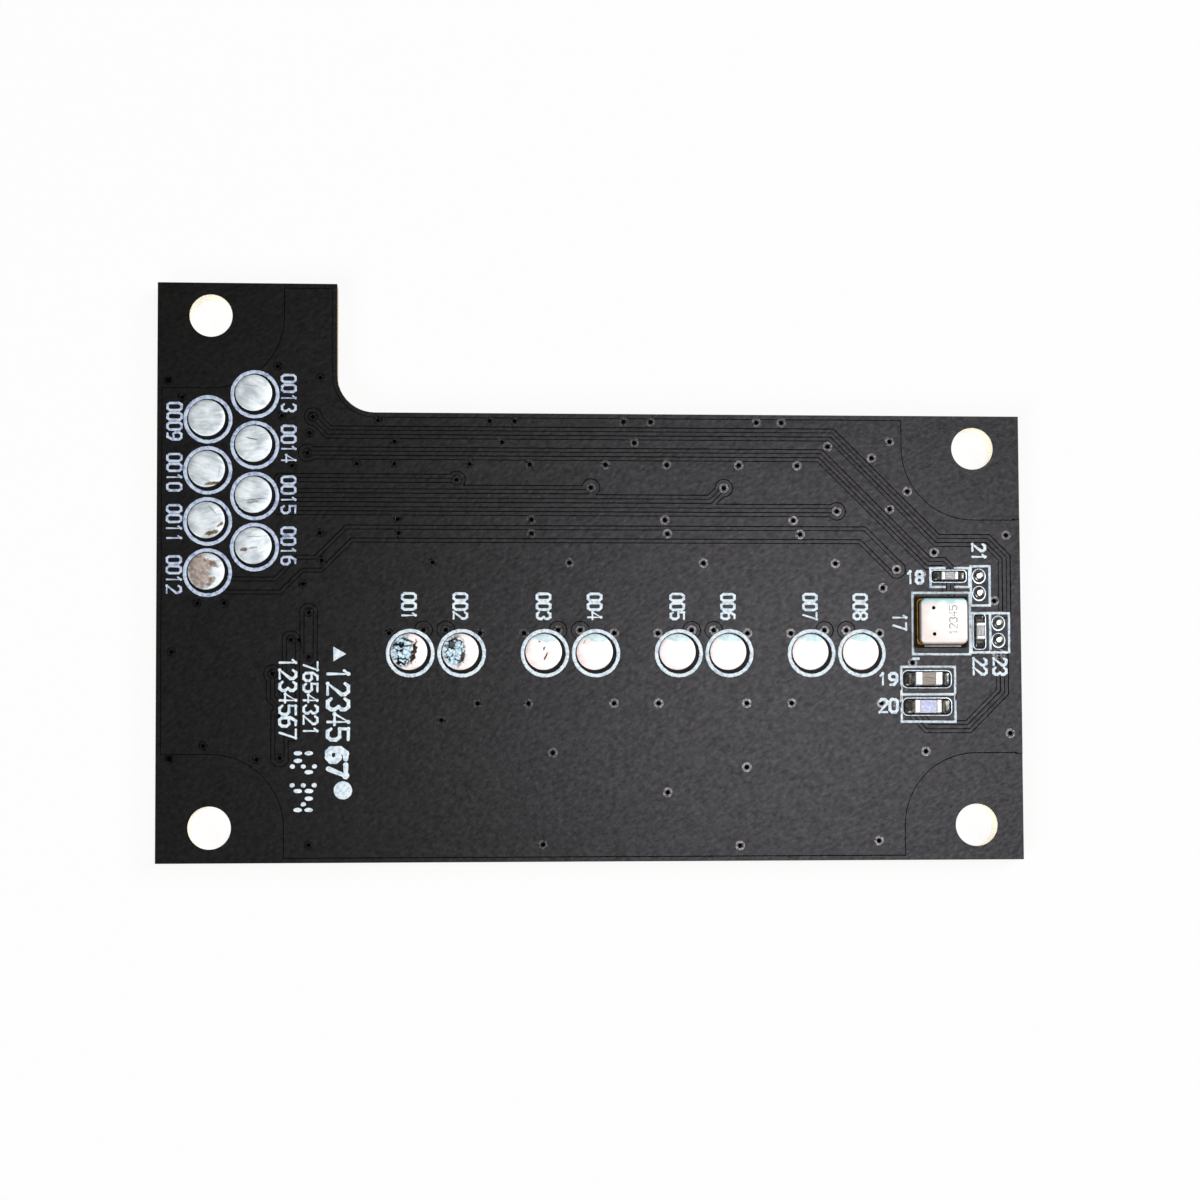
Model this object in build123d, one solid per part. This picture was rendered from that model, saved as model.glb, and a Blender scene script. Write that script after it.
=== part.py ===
"""Sensor and contact board: a black L-shaped printed circuit board with sixteen tinned contact pads, a canned
sensor, three chip capacitors, a chip resistor and two empty chip footprints.

Millimetres. The origin is the centre of the board's outline on its underside. +X runs along the board, +Y
towards the tab and +Z out of the component side.
"""
from build123d import *
import os

os.makedirs("parts", exist_ok=True)

# ---------------------------------------------------------------- board
board_length = 50.9
board_width = 34.0  # front edge to the end of the tab
board_thickness = 1.6
tab_width = 10.45
tab_length = 7.6  # how far the tab stands out behind the long part
tab_fillet = 2.2

# ---------------------------------------------------------------- screw holes
screw_hole_diameter = 2.5
left_hole_inset = 3.1
right_hole_inset = 2.8
front_hole_inset = 2.05
back_hole_inset = 1.95
bare_radius = 4.27  # no copper this near a screw hole

# ---------------------------------------------------------------- copper under the mask
copper_thickness = 0.035
copper_inset = 0.28  # copper stops short of the board's edges
trace_width = 0.25
trace_gap = 0.235
wide_trace_width = 0.53
via_hole = 0.28
via_land = 0.56
hole_sides = 6
land_sides = 12

# ---------------------------------------------------------------- contact pads
pad_diameter = 2.14
pad_height = 0.05
pad_pitch = 3.0
pad_column_pitch = 2.72
pad_column_rows = 4
first_column_inset = 2.87  # from the left edge
first_pad_inset = 8.0  # from the end of the tab
pad_row_height = 12.3  # from the front edge
pad_pairs = 4
pair_pitch = 7.88
last_pair_inset = 11.12  # from the right edge

# ---------------------------------------------------------------- white print
ink_thickness = 0.015
ink_shift_x = 0.075  # the print sits a little off the copper
ink_shift_y = -0.08
ring_diameter = 2.84
ring_line = 0.2
ring_sides = 24
outline_line = 0.14
small_box_length = 2.34  # round a 1.0 x 0.5 chip
small_box_width = 1.13
large_box_length = 3.22  # round a 1.6 x 0.8 chip
large_box_width = 1.63
sensor_box_length = 3.65
sensor_box_width = 3.43
box_break = 0.5  # where a trace leaves a box, the line is broken

# ---------------------------------------------------------------- canned sensor
sensor_length = 3.15
sensor_width = 3.0
sensor_base_height = 0.3
sensor_can_length = 2.8
sensor_can_width = 2.7
sensor_can_height = 0.62
sensor_can_wall = 0.1
sensor_can_shift = 0.08  # the can sits this far right of the base's middle
sensor_can_corner = 0.32
sensor_can_edge = 0.08
sensor_vent = 0.22
vent_inset_x = 0.75  # from the can's left side
vent_inset_y = 0.52  # from the can's back side
sensor_die_length = 1.3
sensor_die_width = 1.0
sensor_die_height = 0.25
sensor_pad_length = 0.5
sensor_pad_width = 0.3
sensor_pad_pitch = 0.65
sensor_pad_inset = 0.05  # from the base's side
solder_film = 0.04

# ---------------------------------------------------------------- chip parts
small_chip = (1.0, 0.5, 0.45)
large_chip = (1.6, 0.8, 0.75)
resistor_chip = (1.6, 0.8, 0.4)
small_cap_length = 0.22
large_cap_length = 0.42
resistor_cap_length = 0.3
cap_lip = 0.02  # the end caps wrap round the body
cap_edge = 0.04
overcoat_height = 0.05
overcoat_margin = 0.06
small_land_reach = 0.45  # how far a solder fillet runs out past the chip
large_land_reach = 0.55
fillet_climb = 0.7  # share of the chip's height that the solder climbs
dome_length = 0.8
dome_width = 0.72
dome_height = 0.2
dome_corner = 0.3
dome_slope = 40  # degrees that its sides lean in
dome_pitch = 1.03

# ---------------------------------------------------------------- part places, from the right and long back edges
sensor_inset_x = 4.85
sensor_inset_y = 12.33
capacitor_1_inset_x = 4.31
capacitor_1_inset_y = 9.59
capacitor_2_inset_x = 5.68
capacitor_2_inset_y = 15.72
capacitor_3_inset_x = 2.49
capacitor_3_inset_y = 12.88
empty_land_1_inset_y = 10.08

# ---------------------------------------------------------------- trace places
line_1_drop = 1.18  # each drop is measured from the long back edge
line_1_low_drop = 7.45
line_1_side_drop = 8.47
line_1_end_drop = 11.7
line_1_start_reach = 9.05  # each reach is measured from the left edge
line_1_start_drop = 0.28
line_1_turn_inset = 11.25  # each inset is measured from the right edge
line_1_side_inset = 0.95
line_2_drop = 2.42
line_2_low_drop = 8.83
line_2_end_drop = 10.6
line_2_start_reach = 8.72
line_2_turn_inset = 11.95
line_2_corner = 0.35
bus_drops = (4.0, 4.64, 5.17, 5.7)
bus_end_insets = (33.47, 25.56, 17.69, 10.97)
bus_end_rises = (0.03, 0.25, 0.79, -0.04)
bus_start_reach = 7.15
power_start_reach = 4.15
power_start_drop = 10.23
power_knee_reach = 7.0
power_step_drop = 8.94
power_step_reach = 9.37
power_drop = 7.16
power_end_inset = 7.41
power_end_drop = 9.2
return_inset = 1.15
return_start_drop = 14.0
return_turn_drop = 16.47
return_slant = 2.07
return_end_inset = 5.65
return_end_slant = 0.7
feed_1_reach = 8.81
feed_1_low = 12.0  # each low and high is measured from the front edge
feed_1_high = 14.6
feed_2_reach = 7.79
feed_2_low = 7.6
feed_2_high = 13.0
feed_3_reach = 7.14
feed_3_low = 6.1
feed_3_high = 8.6
feed_tail_reach = 6.73
feed_tail_turn = 9.65
feed_tail_high = 11.01

# ---------------------------------------------------------------- datum lines
left = -board_length / 2
right = board_length / 2
front = -board_width / 2
tab_end = board_width / 2
step = tab_end - tab_length
tab_side = left + tab_width
top = board_thickness
row_y = front + pad_row_height


def from_right(*distances):
    """Places along the board, given as distances from its right edge."""
    return [right - distance for distance in distances]


def grid(places, y):
    """Points at one height across the board."""
    return [(x, y) for x in places]


# ---------------------------------------------------------------- places
screw_holes = [
    (left + left_hole_inset, front + front_hole_inset),
    (left + left_hole_inset, tab_end - back_hole_inset),
    (right - right_hole_inset, front + front_hole_inset),
    (right - right_hole_inset, step - back_hole_inset),
]
pair_centres = [right - last_pair_inset - pair_pitch * index for index in reversed(range(pad_pairs))]
row_pads = [(centre + side * pad_pitch / 2, row_y) for centre in pair_centres for side in (-1, 1)]
column_pads = [
    (
        left + first_column_inset + pad_column_pitch * column,
        tab_end - first_pad_inset + pad_pitch / 2 * column - pad_pitch * row,
    )
    for column in (0, 1)
    for row in range(pad_column_rows)
]
pads = row_pads + column_pads

sensor_at = (right - sensor_inset_x, step - sensor_inset_y)
capacitor_1_at = (right - capacitor_1_inset_x, step - capacitor_1_inset_y)
capacitor_2_at = (right - capacitor_2_inset_x, step - capacitor_2_inset_y)
capacitor_3_at = (right - capacitor_3_inset_x, step - capacitor_3_inset_y)
resistor_1_at = (capacitor_2_at[0], capacitor_2_at[1] - large_box_width)
empty_land_1_at = (capacitor_3_at[0], step - empty_land_1_inset_y)
empty_land_2_at = (capacitor_3_at[0] + small_box_width, capacitor_3_at[1])

# ---------------------------------------------------------------- traces, each a list of corner points
line_1_y = step - line_1_drop
line_2_y = step - line_2_drop
power_y = step - power_drop
bus_ends = [
    (right - inset, step - drop + rise)
    for inset, drop, rise in zip(bus_end_insets, bus_drops, bus_end_rises)
]
line_1_start = (left + line_1_start_reach, step - line_1_start_drop)
line_2_start = (left + line_2_start_reach, line_2_y)
power_start = (left + power_start_reach, step - power_start_drop)
power_end = (right - power_end_inset, step - power_end_drop)


def diagonal(start, end_y):
    """Where a 45 degree run to the right from start meets the height end_y."""
    return (start[0] + abs(start[1] - end_y), end_y)


def bus_line(index):
    """A bus trace that runs straight from the left pads and turns 45 degrees into its via."""
    end = bus_ends[index]
    rise = bus_end_rises[index]
    y = end[1] - rise
    return [(left + bus_start_reach, y), (end[0] - abs(rise), y), end]


line_1_turn = (right - line_1_turn_inset, line_1_y)
line_1_low = diagonal(line_1_turn, step - line_1_low_drop)
line_1_side = (right - line_1_side_inset, step - line_1_side_drop)
line_1 = [
    line_1_start,
    diagonal(line_1_start, line_1_y),
    line_1_turn,
    line_1_low,
    (line_1_side[0] - (line_1_low[1] - line_1_side[1]), line_1_low[1]),
    line_1_side,
    (line_1_side[0], step - line_1_end_drop),
]
line_2_turn = (right - line_2_turn_inset, line_2_y)
line_2_low = diagonal(line_2_turn, step - line_2_low_drop)
line_2 = [
    line_2_start,
    line_2_turn,
    line_2_low,
    (capacitor_1_at[0] - line_2_corner, line_2_low[1]),
    (capacitor_1_at[0], line_2_low[1] - line_2_corner),
    (capacitor_1_at[0], step - line_2_end_drop),
]
power_knee = (left + power_knee_reach, power_start[1])
power_rise = diagonal(power_knee, step - power_step_drop)
power_step = (left + power_step_reach, power_rise[1])
power_line = [
    power_start,
    power_knee,
    power_rise,
    power_step,
    diagonal(power_step, power_y),
    (power_end[0] - (power_y - power_end[1]), power_y),
    power_end,
]
return_turn = (right - return_inset, step - return_turn_drop)
return_low = (return_turn[0] - return_slant, return_turn[1] - return_slant)
return_end = (right - return_end_inset, return_low[1])
return_line = [
    (return_turn[0], step - return_start_drop),
    return_turn,
    return_low,
    return_end,
    (return_end[0] - return_end_slant, return_end[1] + return_end_slant),
]
feed_1 = [(left + feed_1_reach, front + height) for height in (feed_1_high, feed_1_low)]
feed_2 = [(left + feed_2_reach, front + height) for height in (feed_2_high, feed_2_low)]
feed_3 = [(left + feed_3_reach, front + height) for height in (feed_3_high, feed_3_low)]
feed_turn = (left + feed_tail_reach, front + feed_tail_turn)
feed_tail = [
    (feed_turn[0], front + feed_tail_high),
    feed_turn,
    (feed_3[0][0], feed_turn[1] - (feed_3[0][0] - feed_turn[0])),
    feed_3[0],
]
thin_traces = [line_1, line_2, return_line, feed_tail] + [bus_line(index) for index in range(len(bus_ends))]
wide_traces = [power_line, feed_1, feed_2, feed_3]

# ---------------------------------------------------------------- vias
shoulder_vias = [
    (centre + side * across, row_y + up)
    for centre in pair_centres
    for side in (-1, 1)
    for across, up in ((0.65, 1.28), (2.65, 1.1))
]
signal_vias = bus_ends + [line_1_start, line_2_start, power_end, feed_1[0], feed_2[0], feed_tail[0]]
signal_vias += [via for via in shoulder_vias if via[1] > row_y + 1.2]
plane_vias = (
    grid(from_right(38.05, 31.51, 30.05, 23.62, 22.02, 15.72, 14.24), step - 0.47)
    + grid(from_right(37.1, 30.79, 22.99), step - 1.72)
    + grid(from_right(39.31, 37.12, 32.71, 29.18, 24.7, 21.08, 16.79, 13.33), step - 3.03)
    + grid(from_right(36.91, 29.08, 21.2, 13.57), step - 6.3)
    + grid(from_right(36.86, 29.08, 21.06, 13.17), power_y + 0.04)
    + grid(from_right(34.88, 26.85, 18.93, 11.08), step - 8.85)
    + grid(from_right(32.25, 29.28, 24.26, 21.63, 16.42, 13.76, 8.41, 7.43), front + 9.27)
    + [via for via in shoulder_vias if via[1] < row_y + 1.2]
)
left_vias = [
    (left + x, front + y)
    for x, y in (
        (9.47, 28.43), (6.99, 29.08), (0.67, 28.21), (1.45, 27.23), (7.23, 26.18), (8.84, 25.16),
        (7.83, 23.23), (9.44, 19.27), (9.56, 17.66), (8.48, 16.28), (2.36, 15.13), (3.92, 15.14),
        (8.81, 12.0), (7.14, 8.6), (7.14, 6.1), (0.9, 12.29), (0.8, 6.06), (2.73, 6.81), (5.82, 6.01),
        (8.82, 1.03),
    )
]
right_vias = [
    (right - x, step - y)
    for x, y in (
        (11.48, 1.87), (7.76, 1.56), (8.86, 2.55), (6.73, 4.53), (7.8, 5.6), (0.82, 7.13),
        (5.16, 8.17), (5.94, 9.48), (8.26, 10.29), (1.58, 11.05), (6.53, 14.74), (1.34, 14.22),
        (7.41, 17.3),
    )
]
front_vias = [
    (right - x, front + y)
    for x, y in (
        (34.37, 8.29), (27.86, 6.37), (16.45, 5.5), (21.13, 4.03), (5.79, 6.41), (0.72, 7.47),
        (28.46, 1.0), (16.88, 0.89), (8.64, 1.14),
    )
]
vias = signal_vias + plane_vias + left_vias + right_vias + front_vias


# ---------------------------------------------------------------- helpers
on_base = (Align.CENTER, Align.CENTER, Align.MIN)


def write(name, *solids):
    """Writes one node, whose file name is its name."""
    shape = solids[0] if len(solids) == 1 else Compound(children=list(solids))
    shape.label = name
    export_step(shape, f"parts/{name}.step")


def block(length, width, height, at, base):
    """A box centred on a point of the board, standing on the height base."""
    return Pos(at[0], at[1], base) * Box(length, width, height, align=on_base)


def rectangle_between(x_1, y_1, x_2, y_2):
    """A rectangle between two opposite corners."""
    return Pos((x_1 + x_2) / 2, (y_1 + y_2) / 2) * Rectangle(abs(x_2 - x_1), abs(y_2 - y_1))


def stroke(points, width):
    """The pieces of a line of one width through the points, whose turns and ends are eighths of a turn."""
    pieces = []
    for start, end in zip(points, points[1:]):
        run = Vector(*end) - Vector(*start)
        middle = (Vector(*start) + Vector(*end)) / 2
        angle = Vector(1, 0).get_signed_angle(run, Vector(0, 0, 1))
        pieces.append(Pos(middle.X, middle.Y) * Rot(0, 0, angle) * Rectangle(run.length, width))
    turn = RegularPolygon(width / 2, 8, major_radius=False, rotation=22.5)
    return pieces + [Pos(*point) * turn for point in points]


# ---------------------------------------------------------------- bare board
def board_outline(inset=0.0):
    """The L-shaped outline, or the same outline drawn in by inset."""
    corners = [
        (left + inset, front + inset),
        (right - inset, front + inset),
        (right - inset, step - inset),
        (tab_side - inset, step - inset),
        (tab_side - inset, tab_end - inset),
        (left + inset, tab_end - inset),
    ]
    outline = make_face(Polyline(*corners, close=True))
    inner_corner = outline.vertices().sort_by_distance((*corners[3], 0))[0]
    return fillet(inner_corner, tab_fillet + inset)


def bare_corner(hole):
    """The corner without copper round one screw hole: a square whose inward corner is round."""
    edge_x = left if hole[0] < 0 else right
    edge_y = front if hole[1] < row_y else (step if hole[0] > 0 else tab_end)
    inner_x = hole[0] + (bare_radius if hole[0] < 0 else -bare_radius)
    inner_y = hole[1] + (bare_radius if hole[1] < row_y else -bare_radius)
    square = rectangle_between(edge_x, edge_y, inner_x, inner_y)
    inward = square.vertices().sort_by_distance((inner_x, inner_y, 0))[0]
    return fillet(inward, bare_radius)


def routing_channels():
    """The gaps between the copper plane and its traces, sunk by the copper's thickness."""
    wide = []
    narrow = []
    for route in thin_traces:
        wide += stroke(route, trace_width + 2 * trace_gap)
        narrow += stroke(route, trace_width)
    for route in wide_traces:
        wide += stroke(route, wide_trace_width + 2 * trace_gap)
        narrow += stroke(route, wide_trace_width)
    for via in signal_vias:
        wide.append(Pos(*via) * RegularPolygon(via_land / 2 + trace_gap, land_sides, major_radius=False))
        narrow.append(Pos(*via) * RegularPolygon(via_land / 2, land_sides, major_radius=False))
    return (Sketch() + wide) - (Sketch() + narrow)


def circuit_board():
    """The laminate with its mask: outline, screw holes, vias and the relief of the copper under the mask."""
    outline = board_outline()
    copper_edge = outline - board_outline(copper_inset)
    relief = copper_edge + [bare_corner(hole) for hole in screw_holes] + routing_channels()
    board = extrude(outline, board_thickness)
    board -= Pos(0, 0, top - copper_thickness) * extrude(relief, copper_thickness)
    drills = Sketch() + [Pos(*hole) * Circle(screw_hole_diameter / 2) for hole in screw_holes]
    drills += [Pos(*via) * RegularPolygon(via_hole / 2, hole_sides) for via in vias]
    return board - extrude(drills, board_thickness)


# ---------------------------------------------------------------- contact pads
def contact_pad(at):
    """A flat tinned disc on the board's face."""
    return Pos(at[0], at[1], top) * Cylinder(pad_diameter / 2, pad_height, align=on_base)


# ---------------------------------------------------------------- print
def inked(at):
    """A printed feature's place: the print is shifted against the copper."""
    return Pos(at[0] + ink_shift_x, at[1] + ink_shift_y)


def pad_rings():
    """The ring printed round every contact pad."""
    outer = RegularPolygon(ring_diameter / 2, ring_sides)
    ring = outer - RegularPolygon(ring_diameter / 2 - ring_line, ring_sides)
    rings = Sketch() + [inked(pad) * ring for pad in pads]
    return Pos(0, 0, top) * extrude(rings, ink_thickness)


def box_outline(at, length, width, broken=False):
    """A printed box, its line centred on length x width, broken in the middle of its long sides if asked."""
    frame = Rectangle(length + outline_line, width + outline_line)
    frame -= Rectangle(length - outline_line, width - outline_line)
    if broken:
        frame -= Rectangle(box_break, width + 2 * outline_line)
    return inked(at) * frame


def part_outlines():
    """The boxes printed round the sensor and the chips."""
    boxes = box_outline(sensor_at, sensor_box_width, sensor_box_length)
    boxes += box_outline(capacitor_1_at, small_box_length, small_box_width, broken=True)
    boxes += box_outline(capacitor_2_at, large_box_length, large_box_width)
    boxes += box_outline(resistor_1_at, large_box_length, large_box_width)
    for at in (empty_land_1_at, capacitor_3_at, empty_land_2_at):
        boxes += box_outline(at, small_box_width, small_box_length)
    return Pos(0, 0, top) * extrude(boxes, ink_thickness)


# ---------------------------------------------------------------- sensor
def sensor_can():
    """A drawn metal can with rounded corners and a vent hole, open below."""
    outline = RectangleRounded(sensor_can_length, sensor_can_width, sensor_can_corner)
    outer = extrude(outline, sensor_can_height)
    outer = chamfer(outer.faces().sort_by(Axis.Z)[-1].edges(), sensor_can_edge)
    wall = sensor_can_wall
    inner = RectangleRounded(
        sensor_can_length - 2 * wall, sensor_can_width - 2 * wall, sensor_can_corner - wall
    )
    vent_at = (vent_inset_x - sensor_can_length / 2, sensor_can_width / 2 - vent_inset_y)
    vent = Pos(*vent_at) * Circle(sensor_vent / 2)
    return outer - extrude(inner, sensor_can_height - wall) - extrude(vent, sensor_can_height)


def sensor():
    """The sensor's solder, base, die and can, from the board up."""
    x, y = sensor_at
    across = (sensor_length - sensor_pad_length) / 2 - sensor_pad_inset
    films = [
        block(sensor_pad_length, sensor_pad_width, solder_film, (x + side * across, y + offset), top)
        for side in (-1, 1)
        for offset in [sensor_pad_pitch * (index - 1.5) for index in range(4)]
    ]
    base_z = top + solder_film
    can_z = base_z + sensor_base_height
    write("sensor_solder", *films)
    write("sensor_base", block(sensor_length, sensor_width, sensor_base_height, sensor_at, base_z))
    write("sensor_die", block(sensor_die_length, sensor_die_width, sensor_die_height, sensor_at, can_z))
    write("sensor_can", Pos(x + sensor_can_shift, y, can_z) * sensor_can())


# ---------------------------------------------------------------- chips
def end_cap(chip, cap_length):
    """The metal cap on the right end of a chip, which wraps round its body."""
    length, width, height = chip
    cap = Box(cap_length, width, height, align=(Align.MAX, Align.CENTER, Align.MIN))
    cap = chamfer(cap.faces().sort_by(Axis.X)[-1].edges(), cap_edge)
    return Pos(length / 2, 0, 0) * cap


def solder_fillet(chip, reach):
    """The solder that climbs the right end of a chip in a hollow curve."""
    length, width, height = chip
    foot = (length / 2 + reach, 0)
    crest = (length / 2, height * fillet_climb)
    sag = (length / 2 + reach * 0.36, crest[1] * 0.36)
    edges = Polyline(crest, (length / 2, 0), foot) + ThreePointArc(foot, sag, crest)
    section = Plane.XZ * make_face(edges)
    return extrude(section, width / 2, both=True)


def chip_part(name, at, chip, cap_length, reach, upright=False):
    """Writes a chip's body, its two end caps and its two solder fillets."""
    length, width, height = chip
    place = Pos(at[0], at[1], top) * Rot(0, 0, 90 if upright else 0)
    body = Box(length - 2 * cap_length, width - 2 * cap_lip, height - 2 * cap_lip)
    cap = end_cap(chip, cap_length)
    solder = solder_fillet(chip, reach)
    flip = Rot(0, 0, 180)
    write(f"{name}_body", place * Pos(0, 0, height / 2) * body)
    write(f"{name}_end_caps", place * cap, place * flip * cap)
    write(f"{name}_solder", place * solder, place * flip * solder)


def resistor_overcoat():
    """The glassy coat on the resistor's upper face."""
    length, width, height = resistor_chip
    coat_length = length - 2 * resistor_cap_length - 2 * overcoat_margin
    coat = block(coat_length, width - 2 * overcoat_margin, overcoat_height, (0, 0), height - cap_lip)
    return Pos(resistor_1_at[0], resistor_1_at[1], top) * coat


# ---------------------------------------------------------------- empty footprints
def solder_dome(at):
    """A rounded heap of tin on an empty land."""
    dome = extrude(RectangleRounded(dome_width, dome_length, dome_corner), dome_height, taper=dome_slope)
    return Pos(at[0], at[1], top) * dome


write("circuit_board", circuit_board())
for number, pad in enumerate(pads, start=1):
    write(f"contact_pad_{number:02d}", contact_pad(pad))
write("pad_rings", pad_rings())
write("part_outlines", part_outlines())
sensor()
chip_part("capacitor_1", capacitor_1_at, small_chip, small_cap_length, small_land_reach)
chip_part("capacitor_2", capacitor_2_at, large_chip, large_cap_length, large_land_reach)
chip_part("capacitor_3", capacitor_3_at, small_chip, small_cap_length, small_land_reach, upright=True)
chip_part("resistor_1", resistor_1_at, resistor_chip, resistor_cap_length, large_land_reach)
write("resistor_1_overcoat", resistor_overcoat())
for number, at in enumerate((empty_land_1_at, empty_land_2_at), start=1):
    domes = [solder_dome((at[0], at[1] + side * dome_pitch / 2)) for side in (1, -1)]
    write(f"empty_footprint_{number}_tin", *domes)
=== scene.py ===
"""Finished pieces, light and camera for the sensor and contact board.

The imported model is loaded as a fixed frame. Each sub-assembly takes its place from the frame's nodes and
stands for the plain solids that it dresses. Lengths in the classes are millimetres; Blender's are metres.
"""

import logging
import math
from collections.abc import Iterable, Sequence
from dataclasses import dataclass, replace
from enum import Enum, IntEnum

import bmesh
import bpy
from mathutils import Matrix, Vector, noise


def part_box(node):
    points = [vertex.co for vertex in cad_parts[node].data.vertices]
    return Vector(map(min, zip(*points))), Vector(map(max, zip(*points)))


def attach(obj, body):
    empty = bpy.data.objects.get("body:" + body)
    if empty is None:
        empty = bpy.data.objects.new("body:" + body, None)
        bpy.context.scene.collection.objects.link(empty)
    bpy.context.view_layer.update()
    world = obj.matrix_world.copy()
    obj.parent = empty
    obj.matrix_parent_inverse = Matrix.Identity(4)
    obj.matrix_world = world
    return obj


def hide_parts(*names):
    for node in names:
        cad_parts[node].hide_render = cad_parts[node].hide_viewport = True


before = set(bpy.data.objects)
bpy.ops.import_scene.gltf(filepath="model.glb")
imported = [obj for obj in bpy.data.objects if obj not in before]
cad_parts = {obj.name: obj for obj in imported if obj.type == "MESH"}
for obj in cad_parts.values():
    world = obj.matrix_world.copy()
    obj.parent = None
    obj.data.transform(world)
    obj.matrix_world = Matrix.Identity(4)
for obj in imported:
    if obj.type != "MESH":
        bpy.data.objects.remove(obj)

MM = 0.001
SAME = 1e-7  # corners closer than this, in metres, are one place
MERGE = 1e-8  # corners of a finished shape closer than this, in metres, become one
log = logging.getLogger("board")

Point = tuple[float, float]
Line = tuple[list[Point], bool]

MIX_UNDER, MIX_OVER, MIX_COLOUR = 6, 7, 2  # the colour sockets of Blender's Mix node
WAVE_TURNS = 20  # radians that Blender's wave texture runs through in a length of one
MASK_DRAW = Vector((0.013, 0.007, 0.0))  # where the matting powder's pattern starts from, in metres
FREE_END = 0.72  # a printed stroke's free end, as a share of its width
BENT = 1.2  # edges that turn by more than this, in radians, are a block's own edges


# ---------------------------------------------------------------- small helpers
def linear(colour: str) -> tuple[float, float, float, float]:
    """Turns an sRGB hex colour into linear RGBA.

    Args:
        colour: six hex digits after a hash.
    Returns:
        Red, green, blue and an alpha of one.
    """
    parts = [int(colour[place : place + 2], 16) / 255 for place in (1, 3, 5)]
    red, green, blue = (
        part / 12.92 if part <= 0.04045 else ((part + 0.055) / 1.055) ** 2.4 for part in parts
    )
    return (red, green, blue, 1.0)


def per(size: float) -> float:
    """The noise scale whose features are about that many millimetres across."""
    return 1 / (size * MM)


def add_node(
    tree: bpy.types.NodeTree, kind: str, settings: dict | None = None, links: dict | None = None
) -> bpy.types.Node:
    """Adds one shader node with its settings and links.

    Args:
        tree: the material's or world's node tree.
        kind: the node's type without its ShaderNode prefix.
        settings: option names or input names to their values.
        links: input names to the sockets that feed them.
    Returns:
        The new node.
    """
    node = tree.nodes.new("ShaderNode" + kind)
    for key, value in (settings or {}).items():
        if isinstance(key, str) and hasattr(node, key):
            setattr(node, key, value)
        else:
            node.inputs[key].default_value = value
    for key, source in (links or {}).items():
        tree.links.new(source, node.inputs[key])
    return node


def clean_mesh(bm: bmesh.types.BMesh, name: str) -> bpy.types.Mesh:
    """Merges doubles, turns the faces outward and frees the bmesh.

    Args:
        bm: the finished shape, in metres.
        name: the mesh's name.
    Returns:
        The mesh.
    """
    bmesh.ops.remove_doubles(bm, verts=bm.verts, dist=MERGE)
    bmesh.ops.recalc_face_normals(bm, faces=bm.faces)
    mesh = bpy.data.meshes.new(name)
    bm.to_mesh(mesh)
    bm.free()
    return mesh


def stamp(bm: bmesh.types.BMesh, mesh: bpy.types.Mesh, places: Iterable[Matrix]) -> None:
    """Adds a copy of a mesh to a bmesh at each place."""
    for place in places:
        known = len(bm.verts)
        bm.from_mesh(mesh)
        bm.verts.ensure_lookup_table()
        bmesh.ops.transform(bm, matrix=place, verts=bm.verts[known:])


def turned(profile: Sequence[Point], steps: int, name: str) -> bpy.types.Mesh:
    """A shape turned about the upright axis from (radius, height) points in millimetres.

    Args:
        profile: the points, in order.
        steps: flats round the turn.
        name: the mesh's name.
    Returns:
        The turned mesh at the origin.
    """
    bm = bmesh.new()
    verts = [bm.verts.new((radius * MM, 0, height * MM)) for radius, height in profile]
    edges = [bm.edges.new(pair) for pair in zip(verts, verts[1:])]
    bmesh.ops.spin(
        bm, geom=verts + edges, cent=(0, 0, 0), axis=(0, 0, 1), angle=math.tau, steps=steps, use_merge=True
    )
    return clean_mesh(bm, name)


def rounded_block(size: Vector, corner: float, edge: float, name: str) -> bpy.types.Mesh:
    """A block with rounded upright corners and softened upper and lower edges, standing on height zero.

    Args:
        size: length, width and height in metres.
        corner: radius of the upright corners in millimetres.
        edge: radius of the other edges in millimetres.
        name: the mesh's name.
    Returns:
        The mesh.
    """
    bm = bmesh.new()
    bmesh.ops.create_cube(bm, size=1)
    bmesh.ops.scale(bm, vec=size, verts=bm.verts)
    bmesh.ops.translate(bm, vec=(0, 0, size.z / 2), verts=bm.verts)
    upright = [e for e in bm.edges if abs(e.verts[0].co.z - e.verts[1].co.z) > size.z / 2]
    soften(bm, upright, corner, segments=6)
    flat = [e for e in bm.edges if e.is_manifold and abs(e.calc_face_angle(0)) > BENT]
    soften(bm, flat, edge, segments=3)
    return clean_mesh(bm, name)


def soften(bm: bmesh.types.BMesh, edges: list[bmesh.types.BMEdge], radius: float, segments: int) -> None:
    """Rounds edges with a radius in millimetres."""
    bmesh.ops.bevel(
        bm,
        geom=edges,
        offset=radius * MM,
        offset_type="OFFSET",
        affect="EDGES",
        segments=segments,
        profile=0.5,
        material=-1,
        clamp_overlap=True,
    )


def add_piece(
    name: str,
    mesh: bpy.types.Mesh,
    finishes: Sequence[bpy.types.Material],
    replaced: Sequence[str] = (),
    smooth_below: float = 0.0,
) -> bpy.types.Object:
    """Puts a finished mesh in the scene, riding on the one body.

    Args:
        name: the piece's name.
        mesh: its mesh, in place.
        finishes: its materials, in the order of the mesh's material numbers.
        replaced: the frame's nodes that it stands for.
        smooth_below: faces that meet at less than this angle, in degrees, shade as one surface.
    Returns:
        The object.
    """
    for finish in finishes:
        mesh.materials.append(finish)
    if smooth_below:
        mesh.shade_smooth()
        mesh.set_sharp_from_angle(angle=math.radians(smooth_below))
    piece = bpy.data.objects.new(name, mesh)
    bpy.context.scene.collection.objects.link(piece)
    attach(piece, "root")
    if replaced:
        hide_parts(*replaced)
    log.info("%s: %d faces, stands for %s", name, len(mesh.polygons), ", ".join(replaced) or "nothing")
    return piece


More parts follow.
